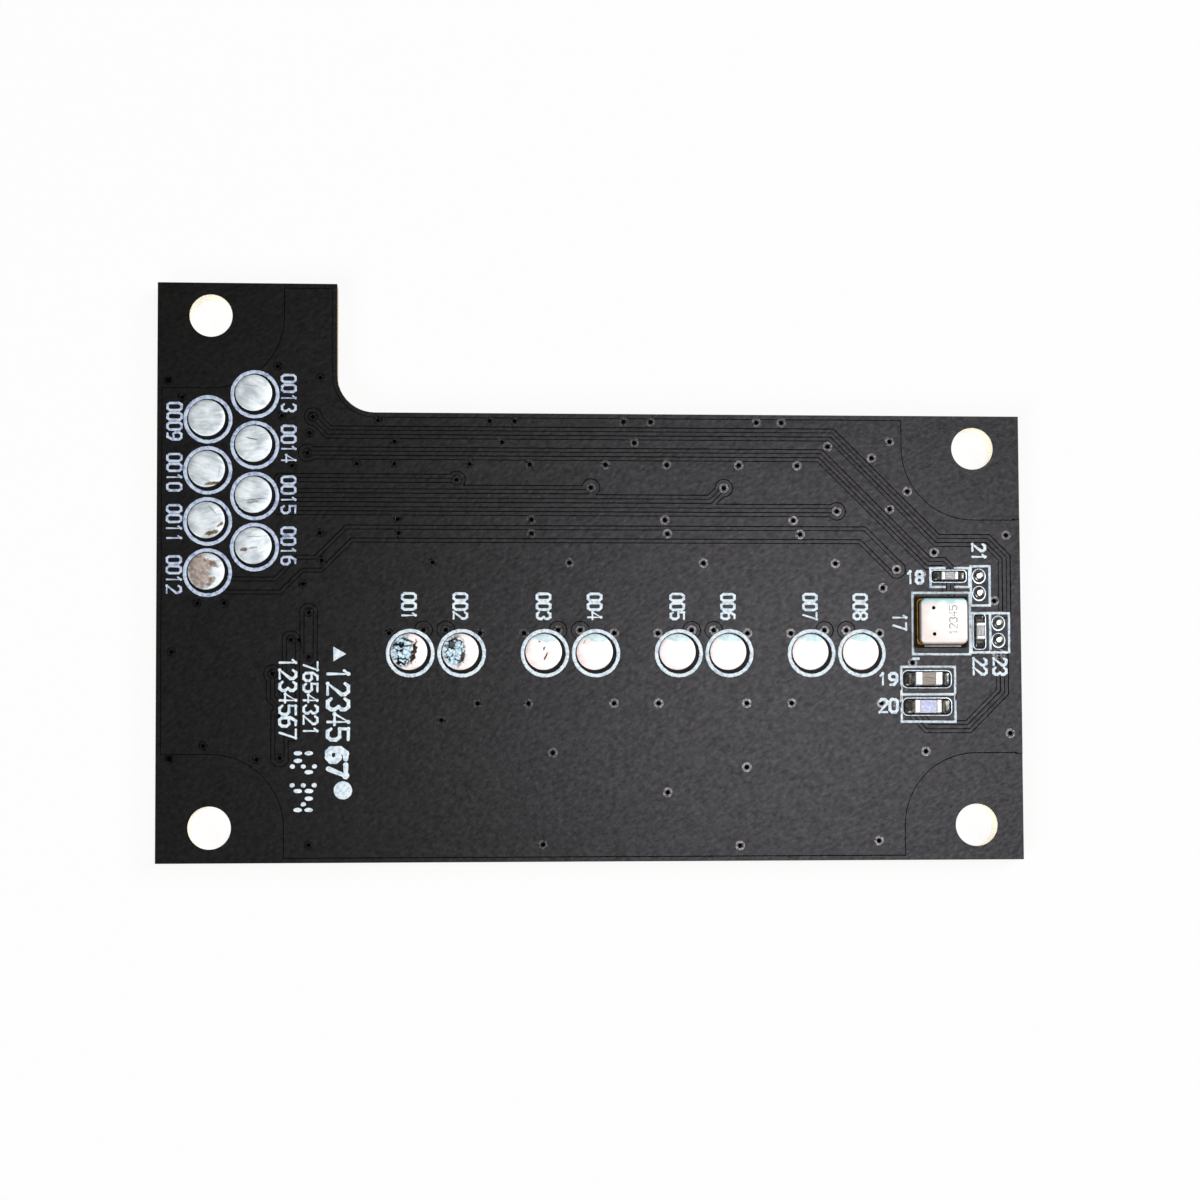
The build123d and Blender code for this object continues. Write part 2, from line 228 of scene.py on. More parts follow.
def middle(node: str) -> Vector:
    """The centre of a frame node's box, in metres."""
    low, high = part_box(node)
    return (low + high) / 2


def standing(low: Vector, high: Vector) -> Matrix:
    """Where a shape that stands on height zero stands centred on the underside of a box."""
    return Matrix.Translation(((low.x + high.x) / 2, (low.y + high.y) / 2, low.z))


def groups(faces: Iterable[bmesh.types.BMFace]) -> list[tuple[Vector, Vector]]:
    """Sorts faces into groups that hang together by their edges.

    Args:
        faces: the faces to sort.
    Returns:
        The lowest and highest corner of each group, from left to right and from low to high.
    """
    left = set(faces)
    boxes = []
    while left:
        group = {left.pop()}
        edge = list(group)
        while edge:
            near = {n for f in edge for e in f.edges for n in e.link_faces} & left
            left -= near
            group |= near
            edge = list(near)
        points = [v.co for f in group for v in f.verts]
        low = Vector([min(p[axis] for p in points) for axis in range(3)])
        high = Vector([max(p[axis] for p in points) for axis in range(3)])
        boxes.append((low, high))
    return sorted(boxes, key=lambda box: (round(box[0].x, 6), round(box[0].y, 6)))


def solids(node: str) -> list[tuple[Vector, Vector]]:
    """The lowest and highest corner of each separate solid in a frame node, in metres."""
    bm = bmesh.new()
    bm.from_mesh(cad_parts[node].data)
    bmesh.ops.remove_doubles(bm, verts=bm.verts, dist=SAME)
    boxes = groups(bm.faces)
    bm.free()
    return boxes


def dress(node: str, finish: bpy.types.Material) -> None:
    """Gives a frame node that stays in view its finish."""
    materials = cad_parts[node].data.materials
    materials.clear()
    materials.append(finish)
    log.info("%s: kept, with %s", node, finish.name)


def strokes(lines: Sequence[Line], width: float, rise: float) -> bpy.types.Mesh:
    """Draws lines of round-ended print whose free ends are a little thinner.

    Args:
        lines: points in millimetres, and whether the line closes on itself.
        width: the line's width in millimetres.
        rise: how far the line stands up in millimetres.
    Returns:
        The mesh, in metres, centred on height zero.
    """
    curve = bpy.data.curves.new("stroke", "CURVE")
    curve.dimensions = "3D"
    curve.bevel_depth = width / 2 * MM
    curve.bevel_resolution = 2
    curve.use_fill_caps = True
    knobs = []
    for points, closed in lines:
        spline = curve.splines.new("POLY")
        spline.points.add(len(points) - 1)
        for place, (point, (x, y)) in enumerate(zip(spline.points, points)):
            point.co = (x * MM, y * MM, 0, 1)
            free = not closed and place in (0, len(points) - 1)
            point.radius = FREE_END if free else 1.0
            knobs.append((x, y, point.radius))
        spline.use_cyclic_u = closed
    holder = bpy.data.objects.new("stroke", curve)
    mesh = bpy.data.meshes.new_from_object(holder)
    bpy.data.objects.remove(holder)
    bpy.data.curves.remove(curve)
    bm = bmesh.new()
    bm.from_mesh(mesh)
    for x, y, share in knobs:
        spot = Matrix.Translation((x * MM, y * MM, 0))
        radius = width / 2 * share * MM
        bmesh.ops.create_uvsphere(bm, u_segments=10, v_segments=6, radius=radius, matrix=spot)
    bmesh.ops.scale(bm, vec=(1, 1, 2 * rise / width), verts=bm.verts)
    bm.to_mesh(mesh)
    bm.free()
    return mesh


# ---------------------------------------------------------------- finishes
@dataclass(frozen=True)
class Finish:
    """What every finish starts from: one principled surface with constant values of its own.

    Attributes:
        name: the real material, and how its surface was made.
        colour: its main colour.
        roughness: from none on a mirror to one on chalk.
        metallic: one on bare metal.
        specular: how strongly a surface that isn't metal shines.
    """

    name: str
    colour: str
    roughness: float
    metallic: float = 0.0
    specular: float = 0.5

    def start(self) -> tuple[bpy.types.Material, bpy.types.NodeTree, bpy.types.Node]:
        """Makes the material and sets the values that are the same all over it.

        Returns:
            The material, its node tree and its principled node.
        """
        material = bpy.data.materials.new(self.name)
        material.use_nodes = True
        tree = material.node_tree
        shader = tree.nodes["Principled BSDF"]
        shader.inputs["Base Color"].default_value = linear(self.colour)
        shader.inputs["Roughness"].default_value = self.roughness
        shader.inputs["Metallic"].default_value = self.metallic
        shader.inputs["Specular IOR Level"].default_value = self.specular
        material.diffuse_color = linear(self.colour)
        return material, tree, shader

    def noise(
        self,
        tree: bpy.types.NodeTree,
        size: float,
        detail: float = 2.0,
        at: Vector | None = None,
        stretch: tuple[float, float, float] = (1.0, 1.0, 1.0),
        turn: float = 0.0,
    ) -> bpy.types.Node:
        """A noise read in the object's own place.

        Args:
            tree: the material's node tree.
            size: feature size in millimetres.
            detail: octaves.
            at: a point in metres that the pattern starts from, so that like pieces differ.
            stretch: how many times longer the features are along each axis.
            turn: how far the pattern is turned about the upright axis, in degrees.
        Returns:
            The noise node.
        """
        coordinates = add_node(tree, "TexCoord")
        laid = add_node(
            tree,
            "Mapping",
            {
                "vector_type": "TEXTURE",
                "Location": at or Vector((0, 0, 0)),
                "Rotation": (0, 0, math.radians(turn)),
                "Scale": stretch,
            },
            {"Vector": coordinates.outputs["Object"]},
        )
        return add_node(
            tree, "TexNoise", {"Scale": per(size), "Detail": detail}, {"Vector": laid.outputs["Vector"]}
        )

    def spread(
        self, tree: bpy.types.NodeTree, source: bpy.types.NodeSocket, start: Point, end: Point = (0.0, 1.0)
    ) -> bpy.types.NodeSocket:
        """Maps one range of a value onto another."""
        settings = {"From Min": start[0], "From Max": start[1], "To Min": end[0], "To Max": end[1]}
        return add_node(tree, "MapRange", settings, {"Value": source}).outputs["Result"]

    def between(
        self, tree: bpy.types.NodeTree, share: bpy.types.NodeSocket, low: str, high: str
    ) -> bpy.types.NodeSocket:
        """Colour between two hex values by a share from none to full."""
        ramp = add_node(tree, "ValToRGB", links={"Fac": share})
        ramp.color_ramp.elements[0].color = linear(low)
        ramp.color_ramp.elements[1].color = linear(high)
        return ramp.outputs["Color"]

    def laid_over(
        self,
        tree: bpy.types.NodeTree,
        share: bpy.types.NodeSocket,
        under: bpy.types.NodeSocket,
        over: bpy.types.NodeSocket | str,
    ) -> bpy.types.NodeSocket:
        """Lays a colour, or one hex value, over another colour by a share."""
        settings = {"data_type": "RGBA"}
        links = {"Factor": share, MIX_UNDER: under}
        if isinstance(over, str):
            settings[MIX_OVER] = linear(over)
        else:
            links[MIX_OVER] = over
        return add_node(tree, "Mix", settings, links).outputs[MIX_COLOUR]

    def bumped(
        self, tree: bpy.types.NodeTree, shader: bpy.types.Node, height: bpy.types.NodeSocket, depth: float
    ) -> None:
        """Feeds a height pattern into the shader as relief of a depth in millimetres."""
        bump = add_node(tree, "Bump", {"Strength": 1.0, "Distance": depth * MM}, {"Height": height})
        tree.links.new(bump.outputs["Normal"], shader.inputs["Normal"])


@dataclass(frozen=True)
class SolderMask(Finish):
    """Matte black solder mask: a screened epoxy ink whose fine leathery tooth breaks up its sheen.

    Attributes:
        light: the colour of its paler patches.
        dark: the colour of its darker patches.
        patch: how wide those patches are.
        tooth: width of the tooth's grain.
        tooth_depth: height of the tooth.
        drawn: how many times longer the grain runs along the way that the ink was drawn.
        drawn_turn: that way, in degrees.
        powder: size of the matting powder's flecks, as a share of the tooth.
        ripple: how far the roughness strays over the tooth, as a share of it.
        gloss: how far the sheen's strength strays where the powder lies thick or thin, as a share of it.
    """

    light: str = "#222222"
    dark: str = "#171717"
    patch: float = 1.6
    tooth: float = 0.26
    tooth_depth: float = 0.006
    drawn: float = 1.5
    drawn_turn: float = 28.0
    powder: float = 0.72
    ripple: float = 0.08
    gloss: float = 0.37

    def material(self) -> bpy.types.Material:
        """Builds the mask."""
        material, tree, shader = self.start()
        cloud = self.noise(tree, self.patch, 6.0)
        share = self.spread(tree, cloud.outputs["Fac"], (0.35, 0.65))
        tree.links.new(self.between(tree, share, self.dark, self.light), shader.inputs["Base Color"])
        way = {"stretch": (self.drawn, 1.0, 1.0), "turn": self.drawn_turn}
        tooth = self.noise(tree, self.tooth, 2.0, **way)
        self.bumped(tree, shader, tooth.outputs["Fac"], self.tooth_depth)
        flecks = self.noise(tree, self.tooth * self.powder, 3.0, MASK_DRAW, **way)
        for socket, source, mean, stray in (
            ("Roughness", tooth, self.roughness, self.ripple),
            ("Specular IOR Level", flecks, self.specular, self.gloss),
        ):
            ends = (mean * (1 - stray), mean * (1 + stray))
            value = self.spread(tree, source.outputs["Fac"], (0.25, 0.75), ends)
            tree.links.new(value, shader.inputs[socket])
        return material


@dataclass(frozen=True)
class Laminate(Finish):
    """Sawn glass and epoxy laminate: tan resin with the pale ends of its glass layers in level lines.

    Attributes:
        resin: the resin's colour.
        glass: the glass's colour.
        layer: from one layer of glass to the next.
        grit: width of the saw's marks.
        grit_depth: depth of the saw's marks.
    """

    resin: str = "#8f7f54"
    glass: str = "#c4b486"
    layer: float = 0.19
    grit: float = 0.08
    grit_depth: float = 0.01

    def material(self) -> bpy.types.Material:
        """Builds the cut edge."""
        material, tree, shader = self.start()
        coordinates = add_node(tree, "TexCoord")
        settings = {
            "bands_direction": "Z",
            "Scale": per(self.layer) * math.tau / WAVE_TURNS,
            "Distortion": 1.5,
            "Detail": 3.0,
            "Detail Scale": 6.0,
        }
        layers = add_node(tree, "TexWave", settings, {"Vector": coordinates.outputs["Object"]})
        colour = self.between(tree, layers.outputs["Fac"], self.resin, self.glass)
        tree.links.new(colour, shader.inputs["Base Color"])
        grit = self.noise(tree, self.grit, 4.0)
        self.bumped(tree, shader, grit.outputs["Fac"], self.grit_depth)
        return material


@dataclass(frozen=True)
class PrintInk(Finish):
    """Screen-printed white epoxy ink: faintly blue where it is thin, with pores that show the black under it.

    Attributes:
        thin: its colour where it is thin.
        full: its colour where it covers fully.
        pore: its colour in the pores.
        patch: how wide the thin and full patches are.
        pore_size: how wide the pores are.
        tooth: width of the screen's fine grain.
        tooth_depth: depth of that grain.
    """

    thin: str = "#b2cbdf"
    full: str = "#eefafd"
    pore: str = "#5f6f8c"
    patch: float = 0.22
    pore_size: float = 0.1
    tooth: float = 0.06
    tooth_depth: float = 0.003

    def material(self) -> bpy.types.Material:
        """Builds the ink."""
        material, tree, shader = self.start()
        cloud = self.noise(tree, self.patch, 3.0)
        coat = self.between(tree, self.spread(tree, cloud.outputs["Fac"], (0.3, 0.55)), self.thin, self.full)
        pores = self.spread(tree, self.noise(tree, self.pore_size, 2.0).outputs["Fac"], (0.66, 0.74))
        tree.links.new(self.laid_over(tree, pores, coat, self.pore), shader.inputs["Base Color"])
        tooth = self.noise(tree, self.tooth, 2.0)
        self.bumped(tree, shader, tooth.outputs["Fac"], self.tooth_depth)
        return material


class Wear(Enum):
    """What has happened to a contact pad's tin, each with the colours that it leaves, and one painted
    reflection.
    """

    SCRATCHED = ("#2b3136", "#3d454b")
    GOUGED = ("#15100c", "#4d4237")
    SCRAPED = ("#121b20", "#9dc0ce")
    SPOTTED = ("#5b4a33", "#8a8064")
    RUSTY = ("#5e3324", "#8f7a6c")
    TARNISHED = ("#7d6c60", "#b9a897")
    # a painted reflection: a blue-green crescent along the top of the row pads
    PAINTED_REFLECTION = ("#9fc6c8", "#c3dcdc")


@dataclass(frozen=True)
class PadMark:
    """One mark on a pad, from the pad's centre, in millimetres.

    Attributes:
        wear: what the mark is.
        at: its centre.
        size: its length and width.
        turn: the way that its length points, in degrees.
        strength: how fully it covers.
        tear: how ragged its edge is, as a share of its width.
    """

    wear: Wear
    at: Point
    size: Point
    turn: float = 0.0
    strength: float = 1.0
    tear: float = 0.6


@dataclass(frozen=True)
class PadTin(Finish):
    """Hot-air levelled tin on copper: satin, streaked where the air knife drew it, and worn by its contacts.

    Attributes:
        dull: its colour in the streaks' hollows.
        bright: its colour on their crests.
        streak: width of the streaks.
        streak_length: how many times longer than wide they are.
        hills: width of the low hills under them.
        hill_depth: height of the hills.
        cell: width of the creases' cells where the tin is scraped.
        crumple: how far the creases are bent.
        glint: the colour of the foil's brightest facets.
        marks: its wear, and on some pads a painted reflection.
    """

    dull: str = "#b8c3c5"
    bright: str = "#eaf2f1"
    streak: float = 0.15
    streak_length: float = 4.5
    hills: float = 0.9
    hill_depth: float = 0.013
    cell: float = 0.42
    crumple: float = 0.65
    glint: str = "#e6f3f7"
    marks: tuple[PadMark, ...] = ()

    def mark_share(self, tree: bpy.types.NodeTree, mark: PadMark, centre: Vector) -> bpy.types.NodeSocket:
        """How much of one mark covers each point of the pad.

        Args:
            tree: the material's node tree.
            mark: the mark.
            centre: the pad's centre in metres.
        Returns:
            A socket that is full inside the mark and none outside it, with a ragged edge.
        """
        at = centre + Vector((*mark.at, 0)) * MM
        coordinates = add_node(tree, "TexCoord")
        from_mark = add_node(
            tree, "VectorMath", {"operation": "SUBTRACT", 1: at}, {0: coordinates.outputs["Object"]}
        )
        ragged = self.noise(tree, 0.24, 4.0, at * 3)
        push = 2 * mark.tear * mark.size[1] * MM
        torn = add_node(
            tree,
            "VectorMath",
            {"operation": "MULTIPLY_ADD", 1: (push, push, 0)},
            {0: ragged.outputs["Color"], 2: from_mark.outputs["Vector"]},
        )
        laid = add_node(
            tree,
            "Mapping",
            {
                "vector_type": "TEXTURE",
                "Location": (push / 2, push / 2, 0),
                "Rotation": (0, 0, math.radians(mark.turn)),
                "Scale": (mark.size[0] / 2 * MM, mark.size[1] / 2 * MM, 1),
            },
            {"Vector": torn.outputs["Vector"]},
        )
        reach = add_node(tree, "VectorMath", {"operation": "LENGTH"}, {0: laid.outputs["Vector"]})
        return self.spread(tree, reach.outputs["Value"], (1.15, 0.8), (0.0, mark.strength))

    def mark_colour(self, tree: bpy.types.NodeTree, mark: PadMark, centre: Vector) -> bpy.types.NodeSocket:
        """The colour inside one mark: creased foil where the tin is scraped, and blotches elsewhere."""
        dark, light = mark.wear.value
        if mark.wear is not Wear.SCRAPED:
            blotch = self.noise(tree, 0.22, 5.0, centre * 5)
            return self.between(tree, self.spread(tree, blotch.outputs["Fac"], (0.4, 0.62)), dark, light)
        drift = self.noise(tree, 0.45, 4.0, centre * 5)
        coordinates = add_node(tree, "TexCoord")
        bent = add_node(
            tree,
            "VectorMath",
            {"operation": "MULTIPLY_ADD", 1: (self.crumple * MM,) * 3},
            {0: drift.outputs["Color"], 2: coordinates.outputs["Object"]},
        )
        cells = add_node(
            tree,
            "TexVoronoi",
            {"feature": "DISTANCE_TO_EDGE", "Scale": per(self.cell)},
            {"Vector": bent.outputs["Vector"]},
        )
        depth = self.noise(tree, 0.6, 2.0, centre * 7)
        worn = self.spread(tree, depth.outputs["Fac"], (0.35, 0.7), (0.06, -0.12))
        lifted = add_node(tree, "Math", {"operation": "ADD"}, {0: cells.outputs["Distance"], 1: worn})
        glint = self.noise(tree, 0.16, 3.0, centre * 3)
        foil = self.between(tree, self.spread(tree, glint.outputs["Fac"], (0.4, 0.62)), light, self.glint)
        folds = self.spread(tree, lifted.outputs["Value"], (0.1, 0.02))
        return self.laid_over(tree, folds, foil, dark)

    def material(self, centre: Vector, turn: float) -> bpy.types.Material:
        """Builds one pad's tin.

        Args:
            centre: the pad's centre in metres, which its marks are set out from.
            turn: the way that its streaks run, in degrees.
        Returns:
            The material.
        """
        material, tree, shader = self.start()
        stretch = (self.streak_length, 1.0, 1.0)
        drawn = self.noise(tree, self.streak, 4.0, centre * 2, stretch, turn)
        hills = self.noise(tree, self.hills, 2.0, centre * 2)
        links = {0: drawn.outputs["Fac"], 2: hills.outputs["Fac"]}
        both = add_node(tree, "Math", {"operation": "MULTIPLY_ADD", 1: 0.6}, links)
        height = both.outputs["Value"]
        colour = self.between(tree, self.spread(tree, height, (0.6, 0.95)), self.dull, self.bright)
        for mark in self.marks:
            share = self.mark_share(tree, mark, centre)
            colour = self.laid_over(tree, share, colour, self.mark_colour(tree, mark, centre))
            # the painted reflection leaves the relief alone
            if mark.wear is not Wear.PAINTED_REFLECTION:
                cut = add_node(tree, "Math", {"operation": "MULTIPLY_ADD", 1: -0.5}, {0: share, 2: height})
                height = cut.outputs["Value"]
        tree.links.new(colour, shader.inputs["Base Color"])
        self.bumped(tree, shader, height, self.hill_depth)
        return material


@dataclass(frozen=True)
class Plain(Finish):
    """A moulded, fired or plated surface with a fine wander in its colour and a little relief.

    Attributes:
        high: the colour of its paler patches.
        patch: how wide those patches are.
        grain: width of its relief.
        depth: height of its relief.
        glow: strength of a painted glow that it gives off though it is no lamp.
    """

    high: str = "#ffffff"
    patch: float = 0.3
    grain: float = 0.05
    depth: float = 0.004
    glow: float = 0.0

    def material(self) -> bpy.types.Material:
        """Builds the surface."""
        material, tree, shader = self.start()
        shader.inputs["Emission Color"].default_value = linear(self.high)
        shader.inputs["Emission Strength"].default_value = self.glow
        cloud = self.noise(tree, self.patch, 4.0)
        share = self.spread(tree, cloud.outputs["Fac"], (0.35, 0.65))
        tree.links.new(self.between(tree, share, self.colour, self.high), shader.inputs["Base Color"])
        grain = self.noise(tree, self.grain, 3.0)
        self.bumped(tree, shader, grain.outputs["Fac"], self.depth)
        return material


@dataclass(frozen=True)
class PressedLayers(Finish):
    """Fired capacitor ceramic: its pressed layers leave faint stripes along the body.

    Attributes:
        high: the colour of its paler stripes.
        stripe: width of the stripes.
        stripe_length: how many times longer than wide they are.
        stripe_depth: depth of the stripes.
    """

    high: str = "#ffffff"
    stripe: float = 0.07
    stripe_length: float = 9.0
    stripe_depth: float = 0.006

    def material(self, upright: bool) -> bpy.types.Material:
        """Builds the ceramic.

        Args:
            upright: whether the body's length runs across the board.
        Returns:
            The material.
        """
        material, tree, shader = self.start()
        turn = 90.0 if upright else 0.0
        layers = self.noise(tree, self.stripe, 2.0, None, (self.stripe_length, 1.0, 1.0), turn)
        share = self.spread(tree, layers.outputs["Fac"], (0.35, 0.65))
        tree.links.new(self.between(tree, share, self.colour, self.high), shader.inputs["Base Color"])
        self.bumped(tree, shader, layers.outputs["Fac"], self.stripe_depth)
        return material


@dataclass(frozen=True)
class PressedCan(Finish):
    """Pressed nickel silver: warm and satin, with fine rolling lines and blue-green along its upper edge.

    Attributes:
        high: the colour of its paler patches.
        patch: how wide those patches are.
        film: the colour along that edge.
        tint_width: how far the blue-green reaches from the edge.
        tint_patch: how wide its patches are.
        rolled: width of the rolling lines.
        rolled_length: how many times longer than wide they are.
        rolled_depth: depth of the rolling lines.
    """

    high: str = "#f3ebe4"
    patch: float = 0.8
    film: str = "#a9cdcd"
    tint_width: float = 0.75
    tint_patch: float = 0.3
    rolled: float = 0.05
    rolled_length: float = 24.0
    rolled_depth: float = 0.002

    def material(self, edge: float) -> bpy.types.Material:
        """Builds the metal.

        Args:
            edge: where the blue-green edge lies, up the board, in metres.
        Returns:
            The material.
        """
        material, tree, shader = self.start()
        cloud = self.noise(tree, self.patch, 4.0)
        share = self.spread(tree, cloud.outputs["Fac"], (0.35, 0.65))
        metal = self.between(tree, share, self.colour, self.high)
        coordinates = add_node(tree, "TexCoord")
        place = add_node(tree, "SeparateXYZ", links={"Vector": coordinates.outputs["Object"]})
        near = self.spread(tree, place.outputs["Y"], (edge - self.tint_width * MM, edge))
        patchy = self.noise(tree, self.tint_patch, 3.0, None, (2.0, 1.0, 1.0))
        links = {0: near, 1: near, 2: patchy.outputs["Fac"]}
        cover = add_node(tree, "Math", {"operation": "MULTIPLY_ADD"}, links)
        tinted = self.spread(tree, cover.outputs["Value"], (0.6, 1.2))
        tree.links.new(self.laid_over(tree, tinted, metal, self.film), shader.inputs["Base Color"])
        lines = self.noise(tree, self.rolled, 3.0, None, (self.rolled_length, 1.0, 1.0))
        self.bumped(tree, shader, lines.outputs["Fac"], self.rolled_depth)
        return material


# Cured black epoxy with a matting powder: near black, with a soft grey sheen towards the lamp.
MASK = SolderMask("matte_black_solder_mask", "#0a0907", 0.29, specular=0.2, light="#0d0c09", dark="#080705")
# The same ink where it runs thin down a copper edge: a black line, partly because its slope turns the sheen
# away and partly painted shade, since its colour is painted darker than the mask's.
MASK_SLOPE_PAINTED_SHADE = SolderMask(
    "solder_mask_on_copper_edge_painted_shade", "#040302", 0.5, specular=0.05, light="#050403", dark="#030202"
)
# The ink drawn thin over a via's copper land: a small dull ring that glints close to the sheen.
MASK_COLLAR = Plain(
    "solder_mask_thinned_at_via", "#121211", 0.17, 1.0, high="#3f3e3d", patch=0.16, depth=0.001
)
# Drilled glass and resin, painted light: a pale colour and a painted glow though it is no lamp, for a pale
# rim inside each screw hole.
HOLE_WALL_PAINTED_LIGHT = Plain("drilled_laminate_wall_painted_light", "#ece4cf", 0.7, high="#fbf7ec", patch=0.4, depth=0.006, glow=0.22)
# A bore too narrow for light to reach into: dead black.
HOLE_DARK = SolderMask("unlit_via_bore", "#030303", 0.9, specular=0.02, light="#040404", dark="#020202")
# Dark resin laid bare where the mask stops: blacker and a little bluer than the mask. Under each chip the
# same dark plate is painted shade round the chip.
BARE_CORE_AND_PAINTED_SHADE = SolderMask(
    "dark_core_and_painted_shade", "#07070a", 0.4, specular=0.12, light="#0a0a10", dark="#040405"
)
# Sawn edge: tan, dry and finely striped.
EDGE = Laminate("sawn_glass_epoxy_laminate", "#b0a074", 0.8)
# Screened epoxy ink: cool white, a little blotchy, with soft edges.
INK = PrintInk("screen_printed_white_ink", "#e3edf7", 0.35)
# The same ink on the cluster at the board's left: bluer and greyer.
CLUSTER_INK = PrintInk("cluster_screen_printed_ink", "#a9bcdc", 0.35, thin="#8797bd", full="#c9d7ea")
# Hot-air levelled tin: cool silver-grey satin in the cluster, and a warm near-white in the row.
CLUSTER_TIN = PadTin("levelled_tin", "#c2ced1", 0.45, 1.0)
ROW_TIN = PadTin("levelled_warm_tin", "#f0e4df", 0.5, 1.0, dull="#e9ddd8", bright="#fff3ee", hill_depth=0.01)
# Reflowed tin solder whose colour is painted dark for the dark surroundings that it mirrors: painted shade,
# smooth and glinting.
SOLDER_PAINTED_DARK = Plain(
    "reflowed_tin_solder_painted_dark", "#5c564b", 0.2, 1.0, high="#8a8c88", patch=0.25, grain=0.14, depth=0.006
)
# Painted highlight: the same tin painted white in the middle of each heap, where it would mirror the lamp.
HIGHLIGHT_TIN = Plain(
    "reflowed_tin_painted_highlight", "#e6e8e4", 0.3, 1.0, high="#ffffff", patch=0.12, grain=0.12, depth=0.003
)
# The thin tin that spread round a joint: a bright uneven line.
FILM = Plain("bright_tin_film", "#aebfcc", 0.4, 1.0, high="#e2ecf2", patch=0.14, grain=0.08, depth=0.008)
# Plated chip ends: pale, soft and finely grained.
TERMINAL = Plain(
    "tin_plated_terminal", "#d3d6d4", 0.42, 1.0, high="#f4f4ef", patch=0.2, grain=0.05, depth=0.006
)
# Pressed nickel silver: warm white satin.
CAN = PressedCan("pressed_nickel_silver_can", "#ebdfd9", 0.55, 1.0)
# Moulded dark resin: olive black, with hardly any shine.
BASE = Plain("dark_resin_sensor_base", "#100b03", 0.5, specular=0.04, high="#2c210b", patch=0.3)
# Gold over nickel: a dim golden line.
GOLD = Plain("gold_plated_line", "#5e4819", 0.4, 1.0, high="#94753a", patch=0.25)
# Polished silicon: dark blue-grey and mirror-like.
DIE = Plain("polished_silicon_die", "#3b3f48", 0.15, 0.6, high="#545a66", patch=0.4)
# Fired capacitor ceramics: grey on the small ones and taupe on the large one, faintly striped.
GREY_CERAMIC = PressedLayers("fired_grey_capacitor_ceramic", "#8f8f90", 0.45, high="#d3d3d5")
TAUPE_CERAMIC = PressedLayers("fired_taupe_capacitor_ceramic", "#84776a", 0.45, high="#b0a498")
# Fired alumina: plain off-white.
ALUMINA = Plain("fired_alumina_ceramic", "#d9dadb", 0.5, high="#efefee", patch=0.2)
# Glass overcoat: cloudy lilac blue with a clear shine.
GLAZE = Plain("glass_overcoat_glaze", "#8d96c9", 0.25, high="#cdd2f0", patch=0.14)
# Laser-etched metal: thin dull grey lines.
MARKING = Plain("etched_can_marking", "#8b8f92", 0.6, 0.6, high="#a3a6a8", patch=0.1)


# ---------------------------------------------------------------- bare board
class Skin(IntEnum):
    """The board's kinds of surface, by material number."""

    MASK = 0
    SLOPE = 1
    SAWN = 2
    DRILLED = 3


